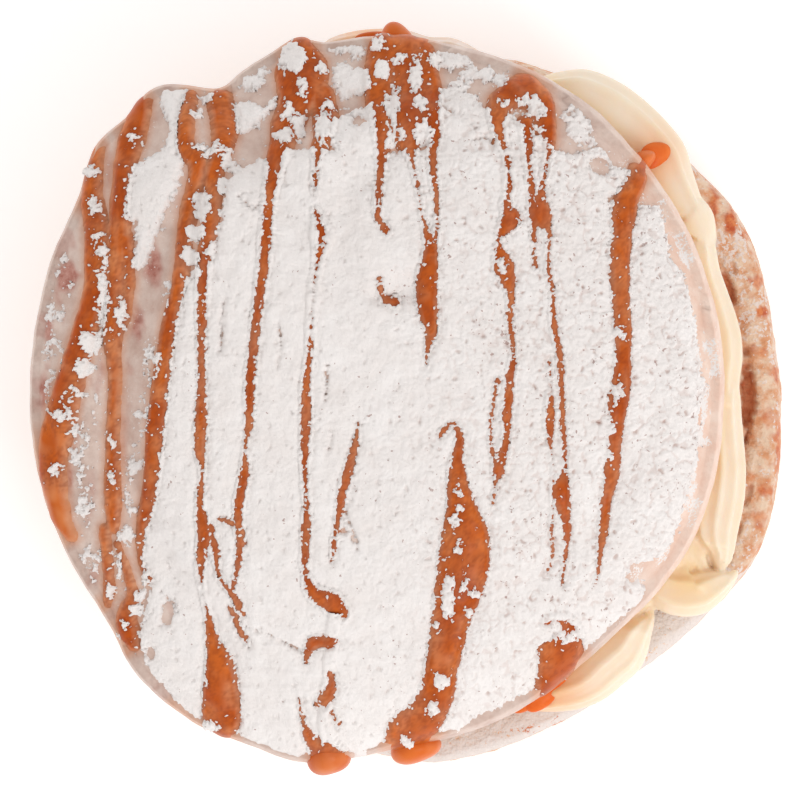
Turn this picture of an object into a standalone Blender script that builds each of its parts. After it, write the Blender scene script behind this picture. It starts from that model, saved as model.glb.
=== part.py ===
# Cinnamon scroll, split level and filled: a lower half, a layer of piped
# custard and a domed lid with poured caramel stripes fused to it.
# Metres, +Z up. The origin is the centre of the lower half's flat underside.
import math

import bmesh
import bpy
import numpy as np

for leftover in list(bpy.data.objects):
    bpy.data.objects.remove(leftover, do_unlink=True)

MM = 0.001

# ---------------------------------------------------------------- heights
LOWER_TOP = 20.0 * MM        # cut face of the lower half
CLEAR = 0.3 * MM             # gap between touching pieces
CUSTARD_TOP = 31.0 * MM
LID_CUT = CUSTARD_TOP + CLEAR
LID_WIDEST = 38.8 * MM
LID_RISE = 19.0 * MM         # from the widest level to the crown
LID_TUCK = 3.0 * MM          # how far the flank draws in at the cut

# ------------------------------------------------------------- plan shape
LID_CENTRE = (-8.0 * MM, 0.5 * MM)   # the lid has slid to the left
LID_RADIUS = 58.0 * MM
LOWER_RADIUS = 61.0 * MM
CUSTARD_RADIUS = 54.6 * MM
CUSTARD_EDGE = 5.8 * MM      # how far in the custard's edge rounds off
CUSTARD_SQUARENESS = 2.3     # 2 rounds the edge as a circle, more squares it
CUSTARD_RIDGE = 0.75 * MM    # height of the piped ridges along the edge

# Swellings of each outline: direction and spread in degrees, height in mm.
LID_SWELLS = [(28, 12, 0.3), (62, 24, 2.2), (90, 12, 1.6), (103, 3.5, 1.7),
              (108, 8, 1.3), (117, 3.5, -1.2), (126, 6, 5.2), (137, 7, 4.4),
              (150, 14, 1.3), (230, 8, 2.9), (241, 8, 3.2), (257, 12, 4.1),
              (312, 18, -2.2), (355, 12, -0.4)]
LOWER_SWELLS = [(28, 14, 2.1), (-3, 10, 0.9), (-23, 12, 2.8), (-54, 12, -1.3),
                (-88, 12, 2.0), (86, 7, -1.7), (180, 50, -1.9)]
CUSTARD_SWELLS = [(-58, 12, 4.6), (-42, 2.6, -4.0), (-33, 6, 6.6), (-24, 14, 3.0),
                  (0, 12, -0.6), (32, 10, 2.4), (48, 10, 7.5), (60, 8.5, 8.5),
                  (76, 5, 4.2), (86, 6, 7.2), (98, 6, 9.4), (104, 3.5, 4.0), (109, 3, 9.5)]
COVERED_ARC = (122.0, 286.0)  # where the lid hides the custard's edge
COVERED_LOBES = 11            # lobes in a full turn at that spacing
COVERED_LOBE_DEPTH = 1.6 * MM

# --------------------------------------------------------------- lid coil
SEAM_CENTRE = (0.7 * MM, 0.0)
SEAM_RADIUS = 51.2 * MM
SEAM_DEPTH = 3.0 * MM
SEAM_WIDTH = 3.3 * MM
SEAM_ARC = (84.0, 236.0)     # degrees, fading at both ends
SEAM_FADE = 14.0
COIL_DROP = 1.8 * MM         # the outer turn lies lower than the dome
SPIRAL_CENTRE = (-3.8 * MM, 18.0 * MM)
SPIRAL_START = 60.0 * MM
SPIRAL_FROM = 253.0          # degrees, winding inwards
SPIRAL_TURN = 326.0
SPIRAL_DEPTH = 0.9 * MM
SPIRAL_WIDTH = 3.4 * MM
PIT_DEPTH = 2.2 * MM
PIT_WIDTH = 3.2 * MM

# ------------------------------------------------- lower half's cut face
RIM_SEAM_RADIUS = 55.4 * MM
RIM_SEAM_ARC = (-29.0, 27.0)
RIM_SEAM_DEPTH = 1.2 * MM
RIM_SEAM_WIDTH = 1.3 * MM
# Cinnamon pockets in the seam: direction in degrees, length in mm, depth in mm.
POCKETS = [(21.2, 2.4, 2.2), (13.8, 2.6, 2.0), (8.6, 2.2, 1.8), (0.6, 5.0, 2.6),
           (-14.0, 2.4, 1.6), (-22.6, 2.6, 1.8)]

# ------------------------------------------------------- caramel stripes
CARAMEL_PLUMPNESS = 0.3      # height of a stripe as a share of its width
CARAMEL_TALLEST = 1.8 * MM
CARAMEL_SINK = 1.8 * MM      # how deep a stripe is buried in the lid
STATION_STEP = 3.8 * MM
# Route of each stripe across the lid in mm, with its width: (x, y, width).
STRIPES = {
    "left_edge": [(-55, 42, 3.5), (-55.5, 26, 4.5), (-58, 7, 4.6), (-62.5, -7, 4.6),
                  (-60.5, -22, 3.2)],
    "left_outer": [(-48, 50, 3.6), (-49.5, 40, 4.2), (-51, 17, 3.6), (-51.6, -12, 3.4),
                   (-53.5, -33, 2.4)],
    "left_pool": [(-50.5, -30, 1.8), (-50, -37, 4.0), (-49.4, -42, 3.0)],
    "left_inner": [(-39, 51, 3.6), (-38, 41, 4.4), (-40.5, 22, 3.2), (-44.5, -4, 3.5),
                   (-47, -30, 2.4)],
    "left_long": [(-33.5, 50, 3.6), (-34, 42, 4.0), (-37, 12, 2.9), (-36.8, -20, 2.9),
                  (-36.2, -34, 3.0), (-34.2, -47, 5.8), (-34.5, -55, 5.6)],
    "top_blob": [(-21.5, 60, 7.0), (-20.6, 54, 8.4), (-24, 38, 3.6), (-28.4, 3, 2.6),
                 (-31, -28, 2.8), (-29, -40, 1.8)],
    "middle_left": [(-17.5, 50, 3.6), (-16.8, 28, 3.4), (-19.5, -5, 2.6), (-19.2, -28, 3.2),
                    (-17.6, -34, 5.4), (-18, -46, 4.0), (-19, -55, 3.6), (-16.2, -63, 6.4)],
    "short_left": [(-11, -4.5, 1.6), (-13.4, -16, 2.6), (-15.6, -26, 1.6)],
    "middle_tip": [(-7, 57, 4.0), (-7.4, 40, 3.0), (-6.2, 19, 4.0), (-5.4, 14, 2.2)],
    "middle": [(-4, 63, 5.6), (-2.4, 56, 5.4), (0.6, 38, 3.2), (0.3, 18, 4.4), (-0.2, 7, 2.2)],
    "right_short": [(13.5, 51, 5.0), (12.6, 45, 3.6), (13.2, 26, 4.2), (14.4, 8, 2.8),
                    (13, -3, 3.4), (11.4, -14, 2.6)],
    "right_long": [(18.5, 50.5, 5.0), (19.1, 30, 4.0), (20, 14, 2.6), (22, -8, 3.6),
                   (22.8, -26, 2.6), (22.2, -38, 6.0), (21.8, -45, 7.2), (20.8, -51, 5.6)],
    "front_pool": [(4, -4.5, 2.6), (5.6, -16, 6.0), (6, -25, 8.0), (4.4, -37, 7.0),
                   (1, -49, 5.8), (-1.6, -61, 7.2)],
    "right_edge": [(36, 40, 3.4), (32.6, 29, 4.0), (32.2, 14, 3.4), (30.6, -8, 3.2),
                   (28.8, -29, 1.8)],
}
# Drips that ran on to the custard: direction, distance out, length, width (mm).
CUSTARD_DRIPS = [(47.2, 57.4, 4.4, 4.2), (-64.2, 56.0, 6.0, 3.6), (93.4, 60.8, 12.0, 5.0)]
DRIP_RISE = 1.5 * MM         # half the height of a drip
DRIP_SINK = 0.5 * MM         # how far a drip's middle lies below the custard's skin

# -------------------------------------------------------------- fineness
LID_ANGLES = 92
LID_TOP_RINGS = 19
CUSTARD_ANGLES = 100
CUSTARD_RINGS = 12
LOWER_ANGLES = 84
MERGE = 0.1 * MM             # points closer than this join up after a union


def wrapped(degrees):
    """Angle difference folded into -180 to 180 degrees."""
    return (np.asarray(degrees) + 180.0) % 360.0 - 180.0


def bell(distance, width):
    return np.exp(-(np.asarray(distance) / width) ** 2)


def soft_step(value, low, high):
    t = np.clip((np.asarray(value) - low) / (high - low), 0.0, 1.0)
    return t * t * (3.0 - 2.0 * t)


def arc_window(angle, arc, fade):
    """1 inside an arc of degrees, falling to 0 over the fade at both ends."""
    middle = 0.5 * (arc[0] + arc[1])
    half = 0.5 * (arc[1] - arc[0])
    return 1.0 - soft_step(np.abs(wrapped(angle - middle)), half - fade, half + fade)


def outline(angle, radius, swells):
    """Radius at an angle in degrees: a circle with rounded swellings."""
    reach = np.full(np.shape(angle), float(radius))
    for direction, spread, height in swells:
        reach = reach + height * MM * bell(wrapped(angle - direction), spread)
    return reach


def undulation(x, y):
    """Slow hand-made unevenness of the dough, within about half a millimetre."""
    return MM * (0.22 * np.sin(x / (7.4 * MM) + 1.3 + 0.8 * np.sin(y / (12.0 * MM)))
                 + 0.18 * np.sin(y / (6.1 * MM) + 0.4 + 0.9 * np.sin(x / (9.0 * MM))))


def spiral_valley(x, y):
    """Shallow valley between the inner turns, winding in to the centre pit."""
    dx = x - SPIRAL_CENTRE[0]
    dy = y - SPIRAL_CENTRE[1]
    distance = np.hypot(dx, dy)
    around = np.degrees(np.arctan2(dy, dx))
    depth = np.zeros(np.shape(distance))
    for turn in (0, 1):
        wound = (around - SPIRAL_FROM) % 360.0 + 360.0 * turn
        inside = soft_step(SPIRAL_TURN - wound, 0.0, 20.0) * soft_step(wound, 0.0, 30.0)
        radius = SPIRAL_START * (1.0 - wound / SPIRAL_TURN)
        depth = depth + SPIRAL_DEPTH * inside * bell(distance - radius, SPIRAL_WIDTH)
    return depth + PIT_DEPTH * bell(distance, PIT_WIDTH)


def seam_relief(x, y):
    """Outer turn of the coil: a groove along its seam, and the turn set lower."""
    dx = x - SEAM_CENTRE[0]
    dy = y - SEAM_CENTRE[1]
    outside = np.hypot(dx, dy) - SEAM_RADIUS
    along = arc_window(np.degrees(np.arctan2(dy, dx)) % 360.0, SEAM_ARC, SEAM_FADE)
    groove = SEAM_DEPTH * bell(outside, SEAM_WIDTH)
    drop = COIL_DROP * soft_step(outside, 0.0, 5.0 * MM)
    return along * (groove + drop)


def lid_point(x, y):
    """Point of the lid's skin over plan position x, y.

    Inside the outline it lies on the dome. Past the outline it runs on down
    the flank by the distance past it, drawing in towards the cut.
    """
    dx = x - LID_CENTRE[0]
    dy = y - LID_CENTRE[1]
    angle = np.degrees(np.arctan2(dy, dx))
    rim = outline(angle, LID_RADIUS, LID_SWELLS)
    share = np.hypot(dx, dy) / rim
    inner = np.clip(share, 0.0, 1.0)
    dome = LID_RISE * (1.0 - inner ** 2.6) ** (1.0 / 1.9)
    relief = (seam_relief(x, y) + spiral_valley(x, y) - undulation(x, y))
    relief = relief * soft_step(1.0 - inner, 0.0, 0.07)
    past = np.clip(share - 1.0, 0.0, 0.2) * rim
    height = LID_WIDEST + dome - relief - past
    drawn = LID_TUCK * (past / (LID_WIDEST - LID_CUT)) ** 1.6
    reach = inner * rim - drawn
    out_x = LID_CENTRE[0] + reach * np.cos(np.radians(angle))
    out_y = LID_CENTRE[1] + reach * np.sin(np.radians(angle))
    return np.stack([out_x, out_y, height], axis=-1)


def lid_normal(x, y):
    """Outward direction of the lid's skin, from points a hair apart."""
    hair = 0.2 * MM
    along_x = lid_point(x + hair, y) - lid_point(x - hair, y)
    along_y = lid_point(x, y + hair) - lid_point(x, y - hair)
    normal = np.cross(along_x, along_y)
    return normal / np.linalg.norm(normal)


def material(name, colour, roughness):
    made = bpy.data.materials.new(name)
    made.use_nodes = True
    shader = made.node_tree.nodes["Principled BSDF"]
    shader.inputs["Base Color"].default_value = (*colour, 1.0)
    shader.inputs["Roughness"].default_value = roughness
    shader.inputs["Metallic"].default_value = 0.0
    return made


def add_object(name, made_mesh, look):
    body = bpy.data.objects.new(name, made_mesh)
    bpy.context.scene.collection.objects.link(body)
    made_mesh.materials.append(look)
    made_mesh.shade_smooth()
    made_mesh.set_sharp_from_angle(angle=math.radians(40.0))
    return body


def ring_mesh(name, rings, pole=None):
    """Closed body from stacked rings: a flat end below, a flat end or pole above."""
    work = bmesh.new()
    loops = [[work.verts.new(point) for point in ring] for ring in rings]
    count = len(loops[0])
    for lower, upper in zip(loops, loops[1:]):
        for i in range(count):
            k = (i + 1) % count
            work.faces.new((lower[i], lower[k], upper[k], upper[i]))
    work.faces.new(list(reversed(loops[0])))
    if pole is None:
        work.faces.new(loops[-1])
    else:
        tip = work.verts.new(pole)
        for i in range(count):
            work.faces.new((loops[-1][i], loops[-1][(i + 1) % count], tip))
    made = bpy.data.meshes.new(name)
    work.to_mesh(made)
    work.free()
    return made


def angles(count):
    return np.arange(count) * 360.0 / count


def ring_at(angle, reach, height, centre=(0.0, 0.0)):
    """Ring of points round a centre; reach and height may vary with angle."""
    x = centre[0] + reach * np.cos(np.radians(angle))
    y = centre[1] + reach * np.sin(np.radians(angle))
    return np.stack([x, y, np.broadcast_to(height, x.shape)], axis=-1)


def make_lower_half(look):
    """Barrel-sided bun base with a soft foot and pockets in its cut face."""
    turn = angles(LOWER_ANGLES)
    rim = outline(turn, LOWER_RADIUS, LOWER_SWELLS)
    # Side profile: how far in from the outline, and how high, in mm.
    side = [(4.6, 0.0), (2.2, 1.1), (0.7, 3.6), (0.1, 7.4), (0.0, 11.0), (0.35, 15.0),
            (0.9, 18.0), (1.7, 19.4)]
    rings = [ring_at(turn, rim - inset * MM, height * MM) for inset, height in side]
    # Cut face: the lip, the coil's seam and its pockets, then a plain middle.
    for inset in (2.9, 4.0, 5.0, 6.0, 7.2, 10.0):
        reach = rim - inset * MM
        rings.append(ring_at(turn, reach, LOWER_TOP - cut_face_dip(turn, reach)))
    rings.append(ring_at(turn, rim * 0.5, LOWER_TOP))
    return add_object("lower_half", ring_mesh("lower_half", rings, (0.0, 0.0, LOWER_TOP)), look)


def cut_face_dip(turn, reach):
    """Depth of the seam and the pockets below the cut face."""
    off_seam = reach - RIM_SEAM_RADIUS
    along = arc_window(turn, RIM_SEAM_ARC, 6.0)
    dip = RIM_SEAM_DEPTH * along * bell(off_seam, RIM_SEAM_WIDTH)
    for direction, length, depth in POCKETS:
        away = wrapped(turn - direction) * math.pi / 180.0 * RIM_SEAM_RADIUS
        dip = dip + depth * MM * bell(away, length * MM) * bell(off_seam, RIM_SEAM_WIDTH)
    return dip


def custard_reach(turn):
    """Custard outline: long piped shells in front, shorter lobes where covered."""
    covered = arc_window(turn, COVERED_ARC, 8.0)
    lobe = np.abs(np.cos(np.radians(turn) * COVERED_LOBES / 2.0)) - 0.5
    shells = outline(turn, CUSTARD_RADIUS, CUSTARD_SWELLS)
    return shells + covered * COVERED_LOBE_DEPTH * lobe


def custard_section(turn, lift):
    """Point ring of the piped edge; lift runs from -1 at its foot to 1 at its top."""
    low = LOWER_TOP + CLEAR
    half = 0.5 * (CUSTARD_TOP - low)
    round_off = math.sqrt(1.0 - abs(lift) ** CUSTARD_SQUARENESS)
    waves = np.cos(2.9 * math.pi * lift + np.radians(turn) * 3.0) - 0.8
    reach = custard_reach(turn) - CUSTARD_EDGE * (1.0 - round_off)
    return ring_at(turn, reach + CUSTARD_RIDGE * waves * round_off, low + half * (1.0 + lift))


def make_custard(look):
    """Layer of piped custard, a ridged rope all round its edge."""
    turn = angles(CUSTARD_ANGLES)
    lifts = np.sin(np.linspace(-0.5, 0.5, CUSTARD_RINGS) * math.pi)
    rings = [custard_section(turn, lift) for lift in lifts]
    return add_object("custard", ring_mesh("custard", rings), look)


def make_lid(look):
    """Domed lid: flat cut underneath, tucked flank, and the coil's relief on top."""
    turn = angles(LID_ANGLES)
    rim = outline(turn, LID_RADIUS, LID_SWELLS)
    flank = LID_WIDEST - LID_CUT
    rings = []
    for past in (1.0, 0.66, 0.33, 0.0):
        rings.append(lid_ring(turn, rim + past * flank))
    for share in np.linspace(0.0, 1.0, LID_TOP_RINGS)[1:-1]:
        rings.append(lid_ring(turn, rim * math.cos(share * math.pi / 2.0) ** 0.92))
    pole = lid_point(np.array(LID_CENTRE[0]), np.array(LID_CENTRE[1]))
    return add_object("lid", ring_mesh("lid", rings, pole), look)


def lid_ring(turn, reach):
    return lid_point(LID_CENTRE[0] + reach * np.cos(np.radians(turn)),
                     LID_CENTRE[1] + reach * np.sin(np.radians(turn)))


def smooth_route(stations):
    """Even samples (x, y, width, in metres) of a smooth curve through stations."""
    points = np.array(stations, dtype=float) * MM
    padded = np.vstack([2 * points[0] - points[1], points, 2 * points[-1] - points[-2]])
    samples = []
    for a, b, c, d in zip(padded, padded[1:], padded[2:], padded[3:]):
        steps = max(1, round(math.dist(b[:2], c[:2]) / STATION_STEP))
        for step in range(steps):
            t = step / steps
            samples.append(0.5 * (2 * b + (c - a) * t + (2 * a - 5 * b + 4 * c - d) * t * t
                                  + (3 * b - a - 3 * c + d) * t ** 3))
    samples.append(points[-1])
    return np.array(samples)


def make_stripe(name, stations):
    """Ribbon of set caramel lying on the lid, rounded on top and sunk below."""
    route = smooth_route(stations)
    heading = np.gradient(route[:, :2], axis=0)
    heading /= np.linalg.norm(heading, axis=1)[:, None]
    # Cross-section: sideways as a share of the half width, and height share.
    section = [(-1.0, -0.3), (-0.55, 0.9), (0.55, 0.9), (1.0, -0.3), (0.0, -1.0)]
    work = bmesh.new()
    loops = []
    for (x, y, width), (ahead_x, ahead_y) in zip(route, heading):
        loop = []
        plump = min(CARAMEL_PLUMPNESS * width, CARAMEL_TALLEST)
        for side, rise in section:
            shift = -side * 0.5 * width
            at_x = x - ahead_y * shift
            at_y = y + ahead_x * shift
            lift = rise * (plump if rise > 0.0 else CARAMEL_SINK)
            spot = lid_point(at_x, at_y) + lid_normal(at_x, at_y) * lift
            loop.append(work.verts.new(spot))
        loops.append(loop)
    for near, far in zip(loops, loops[1:]):
        for i in range(len(section)):
            k = (i + 1) % len(section)
            work.faces.new((near[i], near[k], far[k], far[i]))
    work.faces.new(list(reversed(loops[0])))
    work.faces.new(loops[-1])
    bmesh.ops.recalc_face_normals(work, faces=work.faces)
    made = bpy.data.meshes.new(name)
    work.to_mesh(made)
    work.free()
    return bpy.data.objects.new(name, made)


def make_custard_drip(name, direction, out, length, width):
    """Rounded drip of caramel lying on the custard's upper edge."""
    work = bmesh.new()
    bmesh.ops.create_uvsphere(work, u_segments=10, v_segments=7, radius=1.0)
    made = bpy.data.meshes.new(name)
    work.to_mesh(made)
    work.free()
    drip = bpy.data.objects.new(name, made)
    turn = np.array([float(direction)])
    # The custard's skin under the drip, from the profile of its rounded edge.
    inward = float(custard_reach(turn)[0]) - out * MM
    round_off = min(max(1.0 - inward / CUSTARD_EDGE, 0.0), 1.0)
    lift = (1.0 - round_off ** 2) ** (1.0 / CUSTARD_SQUARENESS)
    skin = 0.5 * (LOWER_TOP + CLEAR + CUSTARD_TOP + lift * (CUSTARD_TOP - LOWER_TOP - CLEAR))
    around = math.radians(direction)
    drip.location = (out * MM * math.cos(around), out * MM * math.sin(around),
                     skin - DRIP_SINK)
    drip.rotation_euler = (0.0, 0.0, around + math.pi / 2.0)
    drip.scale = (0.5 * length * MM, 0.5 * width * MM, DRIP_RISE)
    return drip


def keep_main_shell(made):
    """Delete the specks of surface that a union may leave beside the main skin."""
    work = bmesh.new()
    work.from_mesh(made)
    bmesh.ops.remove_doubles(work, verts=work.verts, dist=MERGE)
    bmesh.ops.dissolve_degenerate(work, dist=MERGE, edges=work.edges)
    unseen = set(work.faces)
    shells = []
    while unseen:
        shell = [unseen.pop()]
        for face in shell:
            for edge in face.edges:
                for beside in edge.link_faces:
                    if beside in unseen:
                        unseen.remove(beside)
                        shell.append(beside)
        shells.append(shell)
    shells.sort(key=len)
    for shell in shells[:-1]:
        bmesh.ops.delete(work, geom=shell, context="FACES")
    work.to_mesh(made)
    work.free()


def fuse(body, pieces, name, solver):
    """Join a collection of pieces to a body with one applied Boolean union."""
    group = bpy.data.collections.new(name)
    bpy.context.scene.collection.children.link(group)
    for piece in pieces:
        group.objects.link(piece)
    union = body.modifiers.new("fuse_" + name, "BOOLEAN")
    union.operation = "UNION"
    union.solver = solver
    union.operand_type = "COLLECTION"
    union.collection = group
    bpy.context.view_layer.update()
    bpy.context.view_layer.objects.active = body
    bpy.ops.object.modifier_apply(modifier=union.name)
    for piece in pieces:
        bpy.data.objects.remove(piece, do_unlink=True)
    bpy.data.collections.remove(group)
    keep_main_shell(body.data)
    body.data.set_sharp_from_angle(angle=math.radians(40.0))


crumb = material("baked_dough", (0.60, 0.33, 0.15), 0.62)
cream = material("custard_cream", (0.84, 0.66, 0.42), 0.38)
sugared = material("sugared_dough", (0.80, 0.74, 0.70), 0.70)

make_lower_half(crumb)

custard = make_custard(cream)
fuse(custard, [make_custard_drip("drip_%d" % i, *drip) for i, drip in enumerate(CUSTARD_DRIPS)],
     "drips", "EXACT")

lid = make_lid(sugared)
# Where stripes cross, the exact solver leaves open edges, so the lid takes MANIFOLD.
fuse(lid, [make_stripe(name, stations) for name, stations in STRIPES.items()], "caramel",
     "MANIFOLD")
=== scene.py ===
import math

import bpy
import numpy as np
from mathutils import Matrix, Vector


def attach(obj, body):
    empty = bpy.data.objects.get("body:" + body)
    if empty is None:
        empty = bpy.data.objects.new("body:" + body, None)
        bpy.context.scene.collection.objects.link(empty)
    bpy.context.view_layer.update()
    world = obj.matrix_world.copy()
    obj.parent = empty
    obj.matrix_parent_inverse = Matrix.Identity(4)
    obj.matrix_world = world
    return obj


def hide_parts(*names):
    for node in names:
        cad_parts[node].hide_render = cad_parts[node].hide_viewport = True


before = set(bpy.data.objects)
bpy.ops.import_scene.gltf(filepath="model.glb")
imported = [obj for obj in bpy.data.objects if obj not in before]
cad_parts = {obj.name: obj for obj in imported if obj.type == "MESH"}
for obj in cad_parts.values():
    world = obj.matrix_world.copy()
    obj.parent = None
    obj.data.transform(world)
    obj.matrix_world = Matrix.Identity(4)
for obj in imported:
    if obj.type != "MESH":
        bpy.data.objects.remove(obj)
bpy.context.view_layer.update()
print("frame loaded:", sorted(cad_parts))

mm = 0.001


# smallest turn between two directions, in degrees from -180 to 180
def wrapped(degrees):
    return (np.asarray(degrees) + 180.0) % 360.0 - 180.0


# height of a bell curve: e to the minus square of distance over width
def bell(distance, width):
    return np.exp(-(np.asarray(distance) / width) ** 2)


# smooth rise from 0 at low to 1 at high: 3t squared minus 2t cubed
def softStep(value, low, high):
    t = np.clip((np.asarray(value) - low) / (high - low), 0.0, 1.0)
    return t * t * (3.0 - 2.0 * t)


# 1 inside an arc of directions, fading to 0 over the fade at both ends
def arcWindow(angle, arc, fade):
    middle = 0.5 * (arc[0] + arc[1])
    half = 0.5 * (arc[1] - arc[0])
    return 1.0 - softStep(np.abs(wrapped(angle - middle)), half - fade, half + fade)


# a radius with bells of (direction, spread, height) added to it
def swollen(angle, radius, swells):
    reach = np.full(np.shape(angle), float(radius))
    for direction, spread, height in swells:
        reach = reach + height * bell(wrapped(angle - direction), spread)
    return reach


# the larger of two heights, with a fillet of the given size where they meet
def blendMax(first, second, fillet):
    mix = np.clip(0.5 + 0.5 * (first - second) / fillet, 0.0, 1.0)
    return second + (first - second) * mix + fillet * mix * (1.0 - mix)


# a whole number that looks random, from a cell's place and a seed: multiply, shift, mix
def hashed(cellX, cellY, seed):
    mixed = (cellX * 374761393 + cellY * 668265263 + seed * 1442695041) & 0xFFFFFFFF
    mixed = ((mixed ^ (mixed >> 13)) * 1274126177) & 0xFFFFFFFF
    return mixed ^ (mixed >> 16)


# gradient noise of the given cell: each corner's slope comes from a hash of its place
def grain(x, y, cell, seed):
    gridX, gridY = x / cell, y / cell
    cellX, cellY = np.floor(gridX).astype(np.int64), np.floor(gridY).astype(np.int64)
    partX, partY = gridX - cellX, gridY - cellY
    easeX = partX ** 3 * (partX * (partX * 6 - 15) + 10)
    easeY = partY ** 3 * (partY * (partY * 6 - 15) + 10)

    def corner(stepX, stepY):
        turn = hashed(cellX + stepX, cellY + stepY, seed) * (2.0 * math.pi / 4294967296.0)
        return np.cos(turn) * (partX - stepX) + np.sin(turn) * (partY - stepY)

    near = corner(0, 0) * (1 - easeX) + corner(1, 0) * easeX
    far = corner(0, 1) * (1 - easeX) + corner(1, 1) * easeX
    return 1.4 * (near * (1 - easeY) + far * easeY)


# noises of several cells and weights added up; a noise of a piece is its (layers, seed)
def grains(x, y, layers, seed):
    total = 0.0
    for k, (cell, weight) in enumerate(layers):
        total = total + weight * grain(x, y, cell, seed + 7 * k)
    return total


# round pebbles, one to a cell in a share of the cells: the highest of 1 - (distance / reach)^2
def pebbles(x, y, cell, seed, share=1.0):
    gridX, gridY = x / cell, y / cell
    cellX, cellY = np.floor(gridX).astype(np.int64), np.floor(gridY).astype(np.int64)
    height = np.zeros(np.shape(x))
    for stepX in (-1, 0, 1):
        for stepY in (-1, 0, 1):
            mixed = hashed(cellX + stepX, cellY + stepY, seed)
            atX = cellX + stepX + 0.15 + 0.7 * (mixed & 255) / 255
            atY = cellY + stepY + 0.15 + 0.7 * (mixed >> 8 & 255) / 255
            reach = 0.5 + 0.35 * (mixed >> 16 & 255) / 255
            away = ((gridX - atX) ** 2 + (gridY - atY) ** 2) / reach ** 2
            here = (mixed >> 24 & 255) < 256 * share
            height = np.where(here, np.maximum(height, 1 - away), height)
    return height


# one mesh object from points in mm, lists of faces and named values at its points
def buildPiece(name, points, faceLists, material, values=None):
    mesh = bpy.data.meshes.new(name)
    points = np.asarray(points, float).reshape(-1, 3) * mm
    corners = np.concatenate([np.asarray(faces, np.int32).ravel() for faces in faceLists])
    sides = np.concatenate([np.full(len(faces), faces.shape[1], np.int32) for faces in faceLists])
    mesh.vertices.add(len(points))
    mesh.vertices.foreach_set("co", points.astype(np.float32).ravel())
    mesh.loops.add(len(corners))
    mesh.loops.foreach_set("vertex_index", corners)
    mesh.polygons.add(len(sides))
    mesh.polygons.foreach_set("loop_start", (np.cumsum(sides) - sides).astype(np.int32))
    mesh.update(calc_edges=True)
    for key, field in (values or {}).items():
        layer = mesh.attributes.new(key, "FLOAT", "POINT")
        layer.data.foreach_set("value", np.asarray(field, np.float32).ravel())
    mesh.polygons.foreach_set("use_smooth", np.ones(len(sides), bool))
    mesh.materials.append(material)
    piece = bpy.data.objects.new(name, mesh)
    bpy.context.scene.collection.objects.link(piece)
    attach(piece, "root")
    print(name, "has", int((sides - 2).sum()), "triangles")
    return piece


# four-sided faces of a grid of rows and columns; a wrapped grid joins its last column to its first
def gridFaces(rows, columns, wrap=False):
    index = np.arange(rows * columns).reshape(rows, columns)
    after = np.roll(index, -1, axis=1) if wrap else index[:, 1:]
    here = index if wrap else index[:, :-1]
    return np.stack([here[:-1], after[:-1], after[1:], here[1:]], axis=-1).reshape(-1, 4)


# a closed body from rings of points: the rings are joined, and both ends close in a pole
def closedBody(rings):
    rows, columns = rings.shape[:2]
    poles = np.stack([rings[0].mean(axis=0), rings[-1].mean(axis=0)])
    points = np.concatenate([rings.reshape(-1, 3), poles])
    here = np.arange(columns)
    after = np.roll(here, -1)
    last = (rows - 1) * columns
    quads = gridFaces(rows, columns, wrap=True)
    fans = np.concatenate([
        np.stack([after, here, np.full(columns, rows * columns)], axis=-1),
        np.stack([last + here, last + after, np.full(columns, rows * columns + 1)], axis=-1)])
    a, b, c, d = (points[quads[:, k]] for k in range(4))
    volume = (np.cross(b, c) * a).sum() + (np.cross(c, d) * a).sum()
    if volume < 0:
        quads, fans = quads[:, ::-1], fans[:, ::-1]
    return points, quads, fans


# a socket that takes another node's output, or else a plain value
def feed(tree, value, socket):
    if isinstance(value, bpy.types.NodeSocket):
        tree.links.new(value, socket)
    else:
        socket.default_value = value


# a node with its settings and its inputs in one call
def addNode(tree, kind, inputs=None, **settings):
    node = tree.nodes.new(kind)
    for key, value in settings.items():
        setattr(node, key, value)
    for key, value in (inputs or {}).items():
        feed(tree, value, node.inputs[key])
    return node


# one sum on two values or sockets, held between 0 and 1 where clamp says so
def addMath(tree, operation, first, second=0.0, clamp=False):
    return addNode(tree, "ShaderNodeMath", {0: first, 1: second}, operation=operation,
                   use_clamp=clamp).outputs[0]


# a value carried from one range to another, held at its ends
def addRange(tree, value, low, high, toLow=0.0, toHigh=1.0):
    return addNode(tree, "ShaderNodeMapRange", {"Value": value, "From Min": low, "From Max": high,
                   "To Min": toLow, "To Max": toHigh}, clamp=True).outputs["Result"]


# a colour that lies the amount of the way from the first to the second
def addMix(tree, amount, first, second):
    node = addNode(tree, "ShaderNodeMix", data_type="RGBA")
    for socket, value in (("Factor_Float", amount), ("A_Color", first), ("B_Color", second)):
        feed(tree, value, next(s for s in node.inputs if s.identifier == socket))
    return next(s for s in node.outputs if s.identifier == "Result_Color")


# an 8-bit screen colour as the linear colour that a shader takes
def paint(red, green, blue):
    linear = [((v / 255 + 0.055) / 1.055) ** 2.4 if v > 10 else v / 255 / 12.92
              for v in (red, green, blue)]
    return (*linear, 1.0)


# a shader group with inputs of (name, kind, value) and outputs of (name, kind)
def newGroup(name, inputs, outputs):
    tree = bpy.data.node_groups.new(name, "ShaderNodeTree")
    for label, kind, value in inputs:
        socket = tree.interface.new_socket(label, in_out="INPUT", socket_type=kind)
        socket.default_value = value
    for label, kind in outputs:
        tree.interface.new_socket(label, in_out="OUTPUT", socket_type=kind)
    return tree, tree.nodes.new("NodeGroupInput").outputs, tree.nodes.new("NodeGroupOutput").inputs


# a Principled material with these settings
def newMaterial(name, settings):
    material = bpy.data.materials.new(name)
    material.use_nodes = True
    tree = material.node_tree
    shader = tree.nodes["Principled BSDF"]
    for key, value in settings.items():
        shader.inputs[key].default_value = value
    return material, tree, shader


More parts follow.
